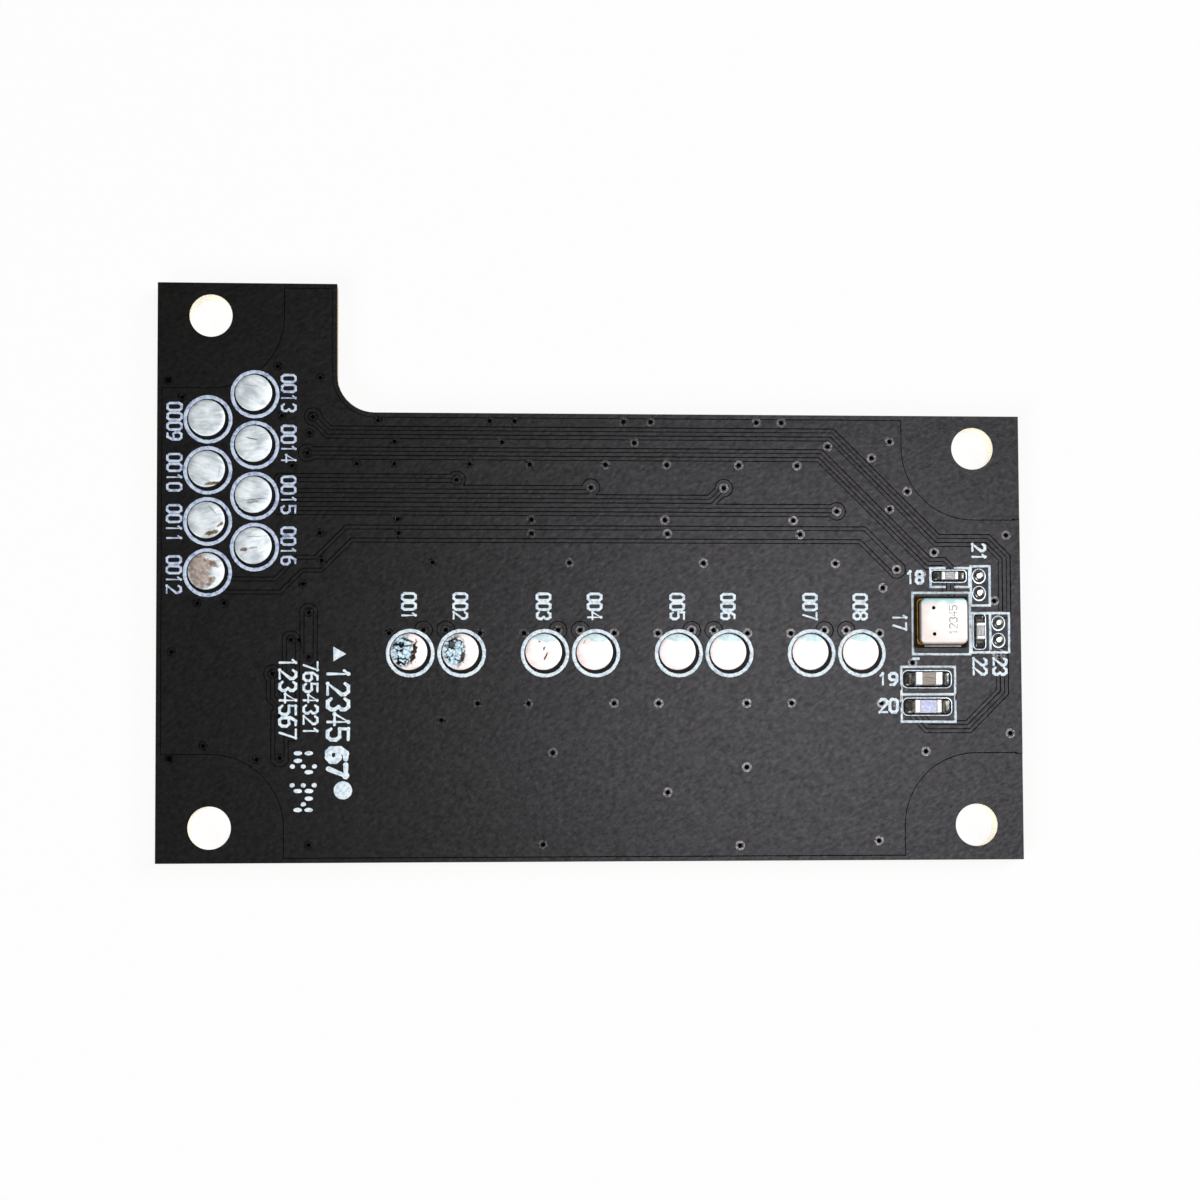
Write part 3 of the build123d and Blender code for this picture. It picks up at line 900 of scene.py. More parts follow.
@dataclass
class BareBoard:
    """The laminate under its mask, with the copper's relief softened and a thinned collar round every via.

    Attributes:
        slope: how wide the mask's slope over a copper edge is.
        wall: the least height of a face that counts as cut through the board.
        rim: width of the strip beside the right edge that lies level with the copper.
        rim_gap: how far past the strip's start a corner lies that belongs to it.
        rim_edge: the least length of an edge that counts as the step along that strip.
        wall_reach: how far from its centre a hole's wall may lie, as a share of the hole's width.
        bore: radius of a via's bore.
        collar: radius of the thinned mask on its land.
        collar_rise: how far the collar stands up.
        widest_via: the widest hole that counts as a via.
    """

    slope: float = 0.055
    wall: float = 0.35
    rim: float = 0.45
    rim_gap: float = 0.01
    rim_edge: float = 5.0
    wall_reach: float = 0.556
    bore: float = 0.16
    collar: float = 0.29
    collar_rise: float = 0.003
    widest_via: float = 0.6

    def relief(self) -> tuple[bmesh.types.BMesh, float]:
        """Softens the sharp steps of the frame's board.

        Returns:
            The board as a bmesh, and the height of its upper face.
        """
        bm = bmesh.new()
        bm.from_mesh(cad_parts["circuit_board"].data)
        bmesh.ops.remove_doubles(bm, verts=bm.verts, dist=SAME)
        floor, top = sorted({round(v.co.z, 7) for v in bm.verts})[-2:]
        halfway = (floor + top) / 2
        width = self.slope / 2 * MM
        for height in (top, floor):
            region = [f for f in bm.faces if all(abs(v.co.z - height) < SAME for v in f.verts)]
            bmesh.ops.inset_region(bm, faces=region, thickness=width, depth=0, use_even_offset=True)
        steps = [
            e
            for e in bm.edges
            if {round(v.co.z, 7) for v in e.verts} == {floor, top}
            and (e.verts[0].co.xy - e.verts[1].co.xy).length < SAME
        ]
        for vert in {v for e in steps for v in e.verts}:
            vert.co.z = halfway
        bmesh.ops.remove_doubles(bm, verts=bm.verts, dist=SAME)
        for face in bm.faces:
            heights = [v.co.z for v in face.verts]
            if any(abs(height - halfway) < SAME for height in heights):
                # slope faces take the mask painted darker: painted shade along each copper edge
                face.material_index = Skin.SLOPE
            elif max(heights) - min(heights) > self.wall * MM:
                face.material_index = Skin.SAWN
        self.level_side(bm, top)
        return bm, top

    def level_side(self, bm: bmesh.types.BMesh, top: float) -> None:
        """Levels the strip beside the board's right edge, where no step shows along it.

        Args:
            bm: the board, whose strip is cut free first so that its neighbours stay flat.
            top: the height that the strip is raised to.
        """
        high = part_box("circuit_board")[1]
        start = high.x - self.rim * MM
        within = start + self.rim_gap * MM
        steps = [f for f in bm.faces if f.material_index == Skin.SLOPE and f.calc_center_median().x > start]
        lengths = [edge for face in steps for edge in face.edges if edge.calc_length() > self.rim_edge * MM]
        ends = [vert.co.y for edge in lengths for vert in edge.verts]
        near, far = min(ends), max(ends)
        step = self.slope * MM
        levels = (near - step, near, far, far + step)
        cuts = [((start, 0, 0), (1, 0, 0)), *(((0, level, 0), (0, 1, 0)) for level in levels)]
        for spot, across in cuts:
            strip = [f for f in bm.faces if max(v.co.x for v in f.verts) > within]
            parts = dict.fromkeys(part for face in strip for part in (*face.verts, *face.edges, face))
            bmesh.ops.bisect_plane(bm, geom=list(parts), plane_co=spot, plane_no=across, dist=MERGE)
        for vert in bm.verts:
            inside = near - SAME < vert.co.y < far + SAME
            if inside and vert.co.z > high.z / 2 and vert.co.x > within:
                vert.co.z = top
        for face in (f for f in bm.faces if f.material_index == Skin.SLOPE):
            if all(abs(vert.co.z - top) < SAME for vert in face.verts):
                face.material_index = Skin.MASK

    def mark_holes(self, bm: bmesh.types.BMesh) -> list[Vector]:
        """Tells the drilled walls from the sawn outline.

        Args:
            bm: the board, whose drilled walls get their material number.
        Returns:
            The centre of each via.
        """
        walls = groups(f for f in bm.faces if f.material_index == Skin.SAWN)
        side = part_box("circuit_board")[1].x - self.rim * MM
        holes = [((low + high) / 2, high.x - low.x) for low, high in walls if high.x < side]
        for face in (f for f in bm.faces if f.material_index == Skin.SAWN):
            spot = face.calc_center_median()
            if any((spot - centre).xy.length < width * self.wall_reach for centre, width in holes):
                face.material_index = Skin.DRILLED
        return [(low + high) / 2 for low, high in walls if high.x - low.x < self.widest_via * MM]

    def vias(self, centres: Sequence[Vector], top: float) -> None:
        """Builds the collar and the dark mouth of every via, on both faces.

        Args:
            centres: where the vias are, in metres.
            top: the height of the board's upper face, in metres.
        """
        inner, outer, rise = self.bore, self.collar, self.collar_rise
        collar = turned([(inner, 0), (inner, rise), (outer, rise), (outer, 0), (inner, 0)], 16, "collar")
        # The mouth's tip lies lowest, then its waist inside the bore, then its lip on the collar.
        mouth = turned([(0, -0.03), (inner * 0.8, -0.006), (inner + 0.01, rise * 0.2)], 16, "mouth")
        for name, shape, finish in (("via_collars", collar, MASK_COLLAR), ("via_bores", mouth, HOLE_DARK)):
            holes = bmesh.new()
            for centre in centres:
                above = Matrix.Translation((centre.x, centre.y, top))
                below = Matrix.Translation((centre.x, centre.y, 0)) @ Matrix.Rotation(math.pi, 4, "X")
                stamp(holes, shape, [above, below])
            mesh = bpy.data.meshes.new(name)
            holes.to_mesh(mesh)
            holes.free()
            add_piece(name, mesh, [finish.material()])

    def build(self) -> None:
        """Builds the board and its vias."""
        bm, top = self.relief()
        centres = self.mark_holes(bm)
        mesh = bpy.data.meshes.new("bare_board")
        bm.to_mesh(mesh)
        bm.free()
        finishes = [MASK.material(), MASK_SLOPE_PAINTED_SHADE.material(), EDGE.material(), HOLE_WALL_PAINTED_LIGHT.material()]
        add_piece("bare_board", mesh, finishes, ["circuit_board"])
        self.vias(centres, top)


# ---------------------------------------------------------------- contact pads
@dataclass
class ContactPads:
    """Sixteen tinned discs in their mask openings, crowned where the tin froze, each with its own wear.

    Attributes:
        edge: radius of the rim.
        crown: how far the rim lies below the middle, as a share of the height.
        steps: flats round a pad.
        opening: how far a mask opening reaches inward from its ring.
        opening_lap: how far it reaches under the ring.
        opening_rise: how far the dark core in it stands up.
        count: how many pads there are.
        row: how many of them lie in the row.
    """

    edge: float = 0.03
    crown: float = 0.35
    steps: int = 72
    opening: float = 0.3
    opening_lap: float = 0.03
    opening_rise: float = 0.003
    count: int = 16
    row: int = 8

    def marks(self) -> dict[int, tuple[PadMark, ...]]:
        """The wear on each pad, by its number."""
        # painted reflection: a blue-green crescent along the top of each row pad
        film = PadMark(Wear.PAINTED_REFLECTION, (0.1, 0.82), (1.5, 0.5), -6, 0.8, 0.2)
        return {
            1: (
                PadMark(Wear.SCRAPED, (-0.4, 0.05), (1.35, 2.0), 0, 1.0, 0.1),
                PadMark(Wear.GOUGED, (0.28, -0.05), (1.5, 0.26), 78, 1.0, 1.3),
                PadMark(Wear.GOUGED, (-0.1, 0.68), (0.8, 0.16), -20, 0.9, 1.0),
            ),
            2: (
                PadMark(Wear.SCRAPED, (-0.36, 0.02), (1.3, 1.9), 0, 1.0, 0.1),
                PadMark(Wear.GOUGED, (0.12, -0.3), (0.9, 0.2), 72, 0.9, 1.2),
                PadMark(Wear.GOUGED, (-0.45, 0.45), (0.7, 0.3), 40, 0.9, 1.0),
            ),
            3: (
                film,
                PadMark(Wear.GOUGED, (0.02, 0.2), (0.24, 0.14), 60, 0.8),
                PadMark(Wear.GOUGED, (0.12, -0.28), (0.5, 0.1), 66),
                PadMark(Wear.SCRATCHED, (-0.25, 0.6), (0.14, 0.1), 0, 0.8),
            ),
            4: (film, PadMark(Wear.SCRATCHED, (-0.6, 0.6), (0.3, 0.08), 60, 0.5)),
            5: (film, PadMark(Wear.SCRATCHED, (0.1, -0.4), (0.6, 0.05), 25, 0.25)),
            6: (film,),
            7: (film,),
            8: (film,),
            10: (
                PadMark(Wear.SPOTTED, (0.3, -0.85), (0.9, 0.2), 8),
                PadMark(Wear.SCRATCHED, (0.75, -0.1), (0.6, 0.04), 80, 0.4),
            ),
            11: (
                PadMark(Wear.SPOTTED, (0.3, -0.74), (0.9, 0.3), 12),
                PadMark(Wear.SPOTTED, (0.82, -0.25), (0.5, 0.16), 30, 1.0, 1.0),
                PadMark(Wear.SCRATCHED, (0.35, 0.62), (0.7, 0.07), -48, 0.6, 1.2),
            ),
            12: (
                PadMark(Wear.TARNISHED, (-0.4, 0.05), (1.35, 2.2), 10, 0.85, 0.2),
                PadMark(Wear.TARNISHED, (0.15, 0.52), (1.2, 0.34), -18, 1.0, 0.8),
                PadMark(Wear.TARNISHED, (0.25, -0.6), (0.7, 0.4), 50, 0.9, 0.8),
            ),
            13: (PadMark(Wear.SCRATCHED, (-0.2, 0.45), (0.9, 0.05), -8, 0.25),),
            14: (PadMark(Wear.SCRATCHED, (-0.1, 0.3), (0.75, 0.055), -12),),
            15: (
                PadMark(Wear.SCRATCHED, (0.07, -0.28), (1.3, 0.045), 7, 0.9),
                PadMark(Wear.SCRATCHED, (-0.08, -0.42), (0.75, 0.15), 8, 0.55, 0.8),
            ),
            16: (
                PadMark(Wear.RUSTY, (-0.55, -0.22), (0.42, 0.2), 8, 0.95),
                PadMark(Wear.SCRATCHED, (-0.02, -0.12), (0.5, 0.12), 12, 0.5, 1.0),
                PadMark(Wear.SCRATCHED, (0.2, 0.55), (1.3, 0.04), 3, 0.5),
            ),
        }

    def openings(self) -> None:
        """Shows the dark core between each pad and its ring."""
        bm = bmesh.new()
        for low, high in solids("pad_rings"):
            ring = (high.x - low.x) / 2 / MM - RING_LINE
            inner, outer, rise = ring - self.opening, ring + self.opening_lap, self.opening_rise
            profile = [(inner, 0), (inner, rise), (outer, rise), (outer, 0), (inner, 0)]
            stamp(bm, turned(profile, self.steps, "opening"), [standing(low, high)])
        add_piece("mask_openings", clean_mesh(bm, "mask_openings"), [BARE_CORE_AND_PAINTED_SHADE.material()])

    def crowned(self, radius: float, height: float) -> list[Point]:
        """A pad's outline from its middle below to its middle on top, by way of its soft rim.

        Args:
            radius: the pad's radius in millimetres.
            height: its height in the middle in millimetres.
        Returns:
            The outline as (radius, height) points in millimetres.
        """
        rim = height * (1 - self.crown)
        return [
            (0, 0),
            (radius, 0),
            (radius, rim - self.edge * 0.5),
            (radius - self.edge * 0.3, rim - self.edge * 0.15),
            (radius - self.edge, rim),
            (radius * 0.8, height * 0.9),
            (radius * 0.45, height * 0.98),
            (0, height),
        ]

    def build(self) -> None:
        """Builds the pads in place."""
        wear = self.marks()
        for number in range(1, self.count + 1):
            node = f"contact_pad_{number:02d}"
            low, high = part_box(node)
            name = f"tinned_pad_{number:02d}"
            outline = self.crowned((high.x - low.x) / 2 / MM, (high.z - low.z) / MM)
            mesh = turned(outline, self.steps, name)
            mesh.transform(standing(low, high))
            tin = ROW_TIN if number <= self.row else CLUSTER_TIN
            finish = replace(tin, name=f"{tin.name}_{number:02d}", marks=wear.get(number, ()))
            turn = number * 37 % 60 - 30  # each pad's streaks run their own way, up to 30 degrees off level
            add_piece(name, mesh, [finish.material(middle(node), turn)], [node], 40)
        self.openings()


# ---------------------------------------------------------------- print
DIGITS: dict[str, list[Line]] = {
    "0": [([(1, 0), (3, 0), (4, 1), (4, 5), (3, 6), (1, 6), (0, 5), (0, 1)], True)],
    "1": [([(0.8, 4.8), (2, 6), (2, 0)], False)],
    "2": [([(0, 5), (1, 6), (3, 6), (4, 5), (4, 4), (0, 0), (4, 0)], False)],
    "3": [
        ([(0, 5), (1, 6), (3, 6), (4, 5), (4, 4), (3, 3.1), (4, 2), (4, 1), (3, 0), (1, 0), (0, 1)], False),
    ],
    "4": [([(3, 0), (3, 6), (0, 2), (4, 2)], False)],
    "5": [([(4, 6), (0, 6), (0, 3.5), (3, 3.5), (4, 2.5), (4, 1), (3, 0), (1, 0), (0, 1)], False)],
    "6": [
        ([(3.5, 6), (1.5, 6), (0, 4), (0, 1), (1, 0), (3, 0), (4, 1), (4, 2.5), (3, 3.5), (0, 3.3)], False),
    ],
    "7": [([(0, 6), (4, 6), (1.5, 0)], False)],
    "8": [
        ([(1, 3.1), (0, 4), (0, 5), (1, 6), (3, 6), (4, 5), (4, 4), (3, 3.1)], True),
        ([(1, 3.1), (3, 3.1), (4, 2), (4, 1), (3, 0), (1, 0), (0, 1), (0, 2)], True),
    ],
    "9": [
        ([(0.5, 0), (2.5, 0), (4, 2), (4, 5), (3, 6), (1, 6), (0, 5), (0, 3.5), (1, 2.5), (4, 2.7)], False),
    ],
}
DIGIT_SIZE = (4.0, 6.0)  # a digit's width and height, in the units that it is drawn in
DIGIT_STEP = 5.6  # from one digit to the next, in the same units
RING_LINE = 0.21  # width of the printed ring round a pad, in millimetres
# Digits, place from the board's left lower corner, size and stroke of the numbers printed in a block.
BLOCK_NUMBERS = (
    ("12345", (10.52, 9.24), (4.4, 1.44), 0.24),
    ("67", (10.47, 5.83), (1.95, 1.42), 0.42),
    ("1234567", (7.61, 9.59), (4.85, 1.12), 0.19),
    ("7654321", (8.93, 9.57), (4.4, 0.96), 0.17),
)
# Last pad of a group, how many digits it gets, place from the pad's centre, size and stroke.
PAD_NUMBERS = (
    (8, 3, (0.0, 2.68), (1.64, 0.94), 0.165),
    (12, 4, (-1.86, -0.2), (2.28, 0.96), 0.15),
    (16, 4, (2.04, 0.0), (2.28, 0.94), 0.15),
)
SEGMENTS: dict[str, Point] = {
    "top": (0.0, 1.0),
    "middle": (0.0, 0.0),
    "bottom": (0.0, -1.0),
    "upper_left": (-1.0, 0.5),
    "upper_right": (1.0, 0.5),
    "lower_left": (-1.0, -0.5),
    "lower_right": (1.0, -0.5),
}
SEGMENT_DIGITS: dict[str, tuple[str, ...]] = {
    "1": ("upper_right", "lower_right"),
    "2": ("top", "middle", "bottom", "upper_right", "lower_left"),
    "3": ("top", "middle", "bottom", "upper_right", "lower_right"),
    "4": ("middle", "upper_left", "upper_right", "lower_right"),
}


class Turn(Enum):
    """Which way printed numbers read, as a turn about the upright axis in degrees."""

    ALONG = 0
    DOWN = -90
    UP = 90


# Digits, place from the sensor's centre, size and reading direction of the numbers beside the parts.
PART_NUMBERS = (
    ("17", (-2.415, 0.015), (1.07, 0.94), Turn.DOWN),
    ("18", (-1.485, 2.675), (1.13, 0.89), Turn.ALONG),
    ("19", (-3.16, -3.38), (1.26, 0.86), Turn.ALONG),
    ("20", (-3.145, -4.96), (1.25, 0.94), Turn.ALONG),
    ("21", (2.37, 4.18), (1.14, 0.94), Turn.DOWN),
    ("22", (2.355, -2.635), (1.13, 0.94), Turn.DOWN),
    ("23", (3.555, -2.635), (1.13, 0.94), Turn.DOWN),
)


@dataclass(frozen=True)
class Number:
    """One printed number, in millimetres.

    Attributes:
        text: its digits.
        at: its centre.
        size: its length along the reading direction and its height.
        turn: the reading direction.
        stroke: the line's width.
    """

    text: str
    at: Point
    size: Point
    turn: Turn = Turn.DOWN
    stroke: float = 0.17

    def draw(self, bm: bmesh.types.BMesh, height: float, rise: float) -> None:
        """Draws the number into a bmesh.

        Args:
            bm: what it is added to.
            height: the face that it lies on, in metres.
            rise: how far it stands up in millimetres.
        """
        full = (len(self.text) - 1) * DIGIT_STEP + DIGIT_SIZE[0]
        along = (self.size[0] - self.stroke) / full
        up = (self.size[1] - self.stroke) / DIGIT_SIZE[1]
        lines = []
        for place, digit in enumerate(self.text):
            start = place * DIGIT_STEP - full / 2
            for points, closed in DIGITS[digit]:
                laid = [((x + start) * along, (y - DIGIT_SIZE[1] / 2) * up) for x, y in points]
                lines.append((laid, closed))
        mesh = strokes(lines, self.stroke, rise)
        place = Matrix.Translation((self.at[0] * MM, self.at[1] * MM, height))
        stamp(bm, mesh, [place @ Matrix.Rotation(math.radians(self.turn.value), 4, "Z")])


@dataclass
class Print:
    """White print: a ring round each pad, boxes round the parts and plain counting numbers.

    Attributes:
        rise: how far the ink stands up.
        ragged: how far its edges wander.
        seed: what the wander starts from; Blender starts it from the clock unless it is told.
        shoulder: how far a ring's edge slopes.
        stitch: the longest edge of a box that isn't cut into shorter ones.
        part_stroke: the line's width in the numbers beside the parts.
        dotted_at: the first dotted digit's centre, from the board's left lower corner.
        dotted_step: from one dotted digit to the next.
        dotted_size: from a dotted digit's middle to its side and upper segments.
        dot: a dot's half length across and half width.
        side_dot: half length of a dot in a side segment.
        round_at: the filled round's centre, from the same corner.
        triangle_at: the filled triangle's centre, from the same corner.
        pin_at: the pin mark's start, from the left lower corner of the sensor's base.
        pin_length: the pin mark's length.
        pin_width: the pin mark's width.
    """

    rise: float = 0.014
    ragged: float = 0.022
    seed: int = 1
    shoulder: float = 0.02
    stitch: float = 0.25
    part_stroke: float = 0.19
    dotted_at: Point = (8.52, 6.71)
    dotted_step: float = 1.1
    dotted_size: Point = (0.33, 0.64)
    dot: Point = (0.15, 0.13)
    side_dot: float = 0.25
    round_at: Point = (10.81, 4.21)
    triangle_at: Point = (10.5, 12.17)
    pin_at: Point = (-0.06, -0.67)
    pin_length: float = 0.32
    pin_width: float = 0.22

    def fray(self, bm: bmesh.types.BMesh, size: float = 0.12) -> None:
        """Moves the ink's edges a little, as a screen leaves them.

        Args:
            bm: the printed shape, in metres.
            size: length of the wander in millimetres.
        """
        for vert in bm.verts:
            push = noise.noise_vector(vert.co / (size * MM))
            vert.co += Vector((push.x, push.y, 0)) * self.ragged * MM

    def ink_piece(
        self, name: str, bm: bmesh.types.BMesh, material: bpy.types.Material, replaced: Sequence[str] = ()
    ) -> None:
        """Turns a printed shape into a piece."""
        mesh = clean_mesh(bm, name)
        add_piece(name, mesh, [material], replaced, 50)

    def rings(self, name: str, boxes: Iterable[tuple[Vector, Vector]], material: bpy.types.Material) -> None:
        """Prints pads' rings, each where the frame's ring lies.

        Args:
            name: the piece's name.
            boxes: the lowest and highest corner of each ring.
            material: the ink.
        """
        bm = bmesh.new()
        for low, high in boxes:
            outer = (high.x - low.x) / 2 / MM
            inner = outer - RING_LINE
            flat = ((inner + self.shoulder, self.rise), (outer - self.shoulder, self.rise))
            ring = turned([(inner, 0), *flat, (outer, 0), (inner, 0)], 120, "ring")
            stamp(bm, ring, [standing(low, high)])
        self.fray(bm)
        self.ink_piece(name, bm, material, ["pad_rings"])

    def boxes(self, material: bpy.types.Material) -> None:
        """Prints the parts' boxes from the frame's own outline."""
        bm = bmesh.new()
        bm.from_mesh(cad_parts["part_outlines"].data)
        bmesh.ops.remove_doubles(bm, verts=bm.verts, dist=SAME)
        for _ in range(2):
            long_edges = [e for e in bm.edges if e.calc_length() > self.stitch * MM]
            bmesh.ops.subdivide_edges(bm, edges=long_edges, cuts=3, use_grid_fill=True)
        self.fray(bm)
        self.ink_piece("box_print", bm, material, ["part_outlines"])

    def numbers(self) -> list[Number]:
        """Every counting number, set out from the pads and parts."""
        items = []
        first = 1
        for last, digits, away, size, stroke in PAD_NUMBERS:
            for index in range(first, last + 1):
                pad = middle(f"contact_pad_{index:02d}") / MM
                at = (pad.x + away[0], pad.y + away[1])
                items.append(Number(f"{index:0{digits}d}", at, size, stroke=stroke))
            first = last + 1
        sensor = middle("sensor_base") / MM
        for text, away, size, turn in PART_NUMBERS:
            items.append(Number(text, (sensor.x + away[0], sensor.y + away[1]), size, turn, self.part_stroke))
        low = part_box("circuit_board")[0] / MM
        for text, away, size, stroke in BLOCK_NUMBERS:
            items.append(Number(text, (low.x + away[0], low.y + away[1]), size, Turn.DOWN, stroke))
        return items

    def dots(self, bm: bmesh.types.BMesh, height: float) -> None:
        """Adds four digits of oval dots.

        Args:
            bm: what they are added to.
            height: the face that they lie on, in metres.
        """
        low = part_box("circuit_board")[0] / MM
        dot = turned([(1, 0), (0.8, self.rise * 0.8), (0, self.rise)], 12, "dot")
        side, rise = self.dotted_size
        for place, digit in enumerate("1234"):
            x = low.x + self.dotted_at[0]
            y = low.y + self.dotted_at[1] - place * self.dotted_step
            for across, up in (SEGMENTS[segment] for segment in SEGMENT_DIGITS[digit]):
                spot = Matrix.Translation(((x + up * rise) * MM, (y - across * side) * MM, height))
                length = self.dot[0] if across == 0 else self.side_dot
                stamp(bm, dot, [spot @ Matrix.Diagonal((length, self.dot[1], 1.0, 1.0))])

    def signs(self, bm: bmesh.types.BMesh, height: float) -> None:
        """Adds a plain filled round, a plain filled triangle and the sensor's pin mark.

        Args:
            bm: what they are added to.
            height: the face that they lie on, in metres.
        """
        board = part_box("circuit_board")[0] / MM
        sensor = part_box("sensor_base")[0] / MM
        filled_round = turned([(0.53, 0), (0.5, self.rise), (0, self.rise)], 40, "round")
        triangle = turned([(0.5, 0), (0.48, self.rise), (0, self.rise)], 3, "triangle")
        pin = strokes([([(0, 0), (self.pin_length, 0)], False)], self.pin_width, self.rise)
        for shape, corner, (x, y) in (
            (filled_round, board, self.round_at),
            (triangle, board, self.triangle_at),
            (pin, sensor, self.pin_at),
        ):
            stamp(bm, shape, [Matrix.Translation(((corner.x + x) * MM, (corner.y + y) * MM, height))])

    def build(self) -> None:
        """Prints everything."""
        noise.seed_set(self.seed)
        material = INK.material()
        thin = CLUSTER_INK.material()
        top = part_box("circuit_board")[1].z
        rings = solids("pad_rings")
        cluster_end = (middle("contact_pad_01").x + middle("contact_pad_16").x) / 2
        self.rings("row_ring_print", [box for box in rings if box[0].x > cluster_end], material)
        self.rings("cluster_ring_print", [box for box in rings if box[0].x < cluster_end], thin)
        self.boxes(material)
        for name, ink in (("number_print", material), ("cluster_number_print", thin)):
            bm = bmesh.new()
            for item in self.numbers():
                if (len(item.text) == 4) == (ink is thin):
                    item.draw(bm, top, self.rise)
            if ink is material:
                self.dots(bm, top)
                self.signs(bm, top)
            self.fray(bm, 0.2)
            self.ink_piece(name, bm, ink)


# ---------------------------------------------------------------- canned sensor
@dataclass
class CannedSensor:
    """The metal-canned sensor on its dark resin base, with a plated line round the base.

    Attributes:
        corner: radius of the can's upright corners.
        edge: radius of its other edges.
        vent: radius of a vent.
        vent_rise: how far the rim of the dark in a vent stands up.
        vents: each vent's place, as shares of the can's width from the left and of its depth from the top.
        marking: the faint numbers on it.
        marking_at: their centre, as the vents' places are given.
        marking_size: their length and height.
        marking_stroke: their line's width.
        marking_rise: how far they stand up.
        line_inset: how far the plated line lies inside the base's edge.
        line_width: the plated line's width.
        line_rise: how far the line stands over the base, and the plate inside it over the line.
        foot: how far the can's foot stands out at its front.
        foot_share: the foot's length, as a share of the can's width.
        foot_thick: the foot's thickness.
    """

    corner: float = 0.32
    edge: float = 0.09
    vent: float = 0.11
    vent_rise: float = 0.003
    vents: tuple[Point, ...] = ((0.275, 0.215), (0.288, 0.79))
    marking: str = "12345"
    marking_at: Point = (0.69, 0.48)
    marking_size: Point = (1.75, 0.52)
    marking_stroke: float = 0.07
    marking_rise: float = 0.002
    line_inset: float = 0.13
    line_width: float = 0.05
    line_rise: float = 0.003
    foot: float = 0.1
    foot_share: float = 0.78
    foot_thick: float = 0.05

    def can(self) -> None:
        """Builds the can with its vents and its faint numbers."""
        low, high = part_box("sensor_can")
        size = high - low
        shell = rounded_block(size, self.corner, self.edge, "can_shell")
        shell.transform(standing(low, high))
        add_piece("can_shell", shell, [CAN.material(high.y)], ["sensor_can"], 40)
        holes = bmesh.new()
        dark = turned([(self.vent, 0.0), (self.vent * 0.9, self.vent_rise), (0, 0.001)], 24, "vent")
        for across, down in self.vents:
            at = Vector((low.x + across * size.x, high.y - down * size.y, high.z))
            stamp(holes, dark, [Matrix.Translation(at)])
        add_piece("can_vents", clean_mesh(holes, "can_vents"), [HOLE_DARK.material()])
        etched = bmesh.new()
        across, down = self.marking_at
        at = ((low.x + across * size.x) / MM, (high.y - down * size.y) / MM)
        number = Number(self.marking, at, self.marking_size, Turn.UP, self.marking_stroke)
        number.draw(etched, high.z, self.marking_rise)
        add_piece("can_marking", clean_mesh(etched, "can_marking"), [MARKING.material()])

    def base(self) -> None:
        """Builds the base with the plated line round it and the can's bright foot."""
        low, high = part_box("sensor_base")
        plates = (
            ("sensor_plate", 0.0, 0.0, BASE, ("sensor_base",)),
            ("sensor_plated_line", self.line_inset, self.line_rise, GOLD, ()),
            ("sensor_inner_plate", self.line_inset + self.line_width, 2 * self.line_rise, BASE, ()),
        )
        for name, inset, rise, finish, replaced in plates:
            size = high - low - Vector((2 * inset, 2 * inset, -rise)) * MM
            plate = rounded_block(size, 0.05 + inset * 1.5, 0.002 if inset else 0.02, name)
            plate.transform(standing(low, high))
            add_piece(name, plate, [finish.material()], replaced, 40)
        low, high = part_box("sensor_can")
        thick = self.foot_thick * MM
        size = Vector((self.foot_share * (high.x - low.x), thick, thick))
        bar = rounded_block(size, 0.02, 0.02, "can_foot")
        bar.transform(Matrix.Translation(((low.x + high.x) / 2, low.y - self.foot * MM, low.z)))
        add_piece("can_foot", bar, [TERMINAL.material()], (), 40)

    def build(self) -> None:
        """Builds the sensor."""
        self.can()
        self.base()
        dress("sensor_die", DIE.material())
        dress("sensor_solder", SOLDER_PAINTED_DARK.material())


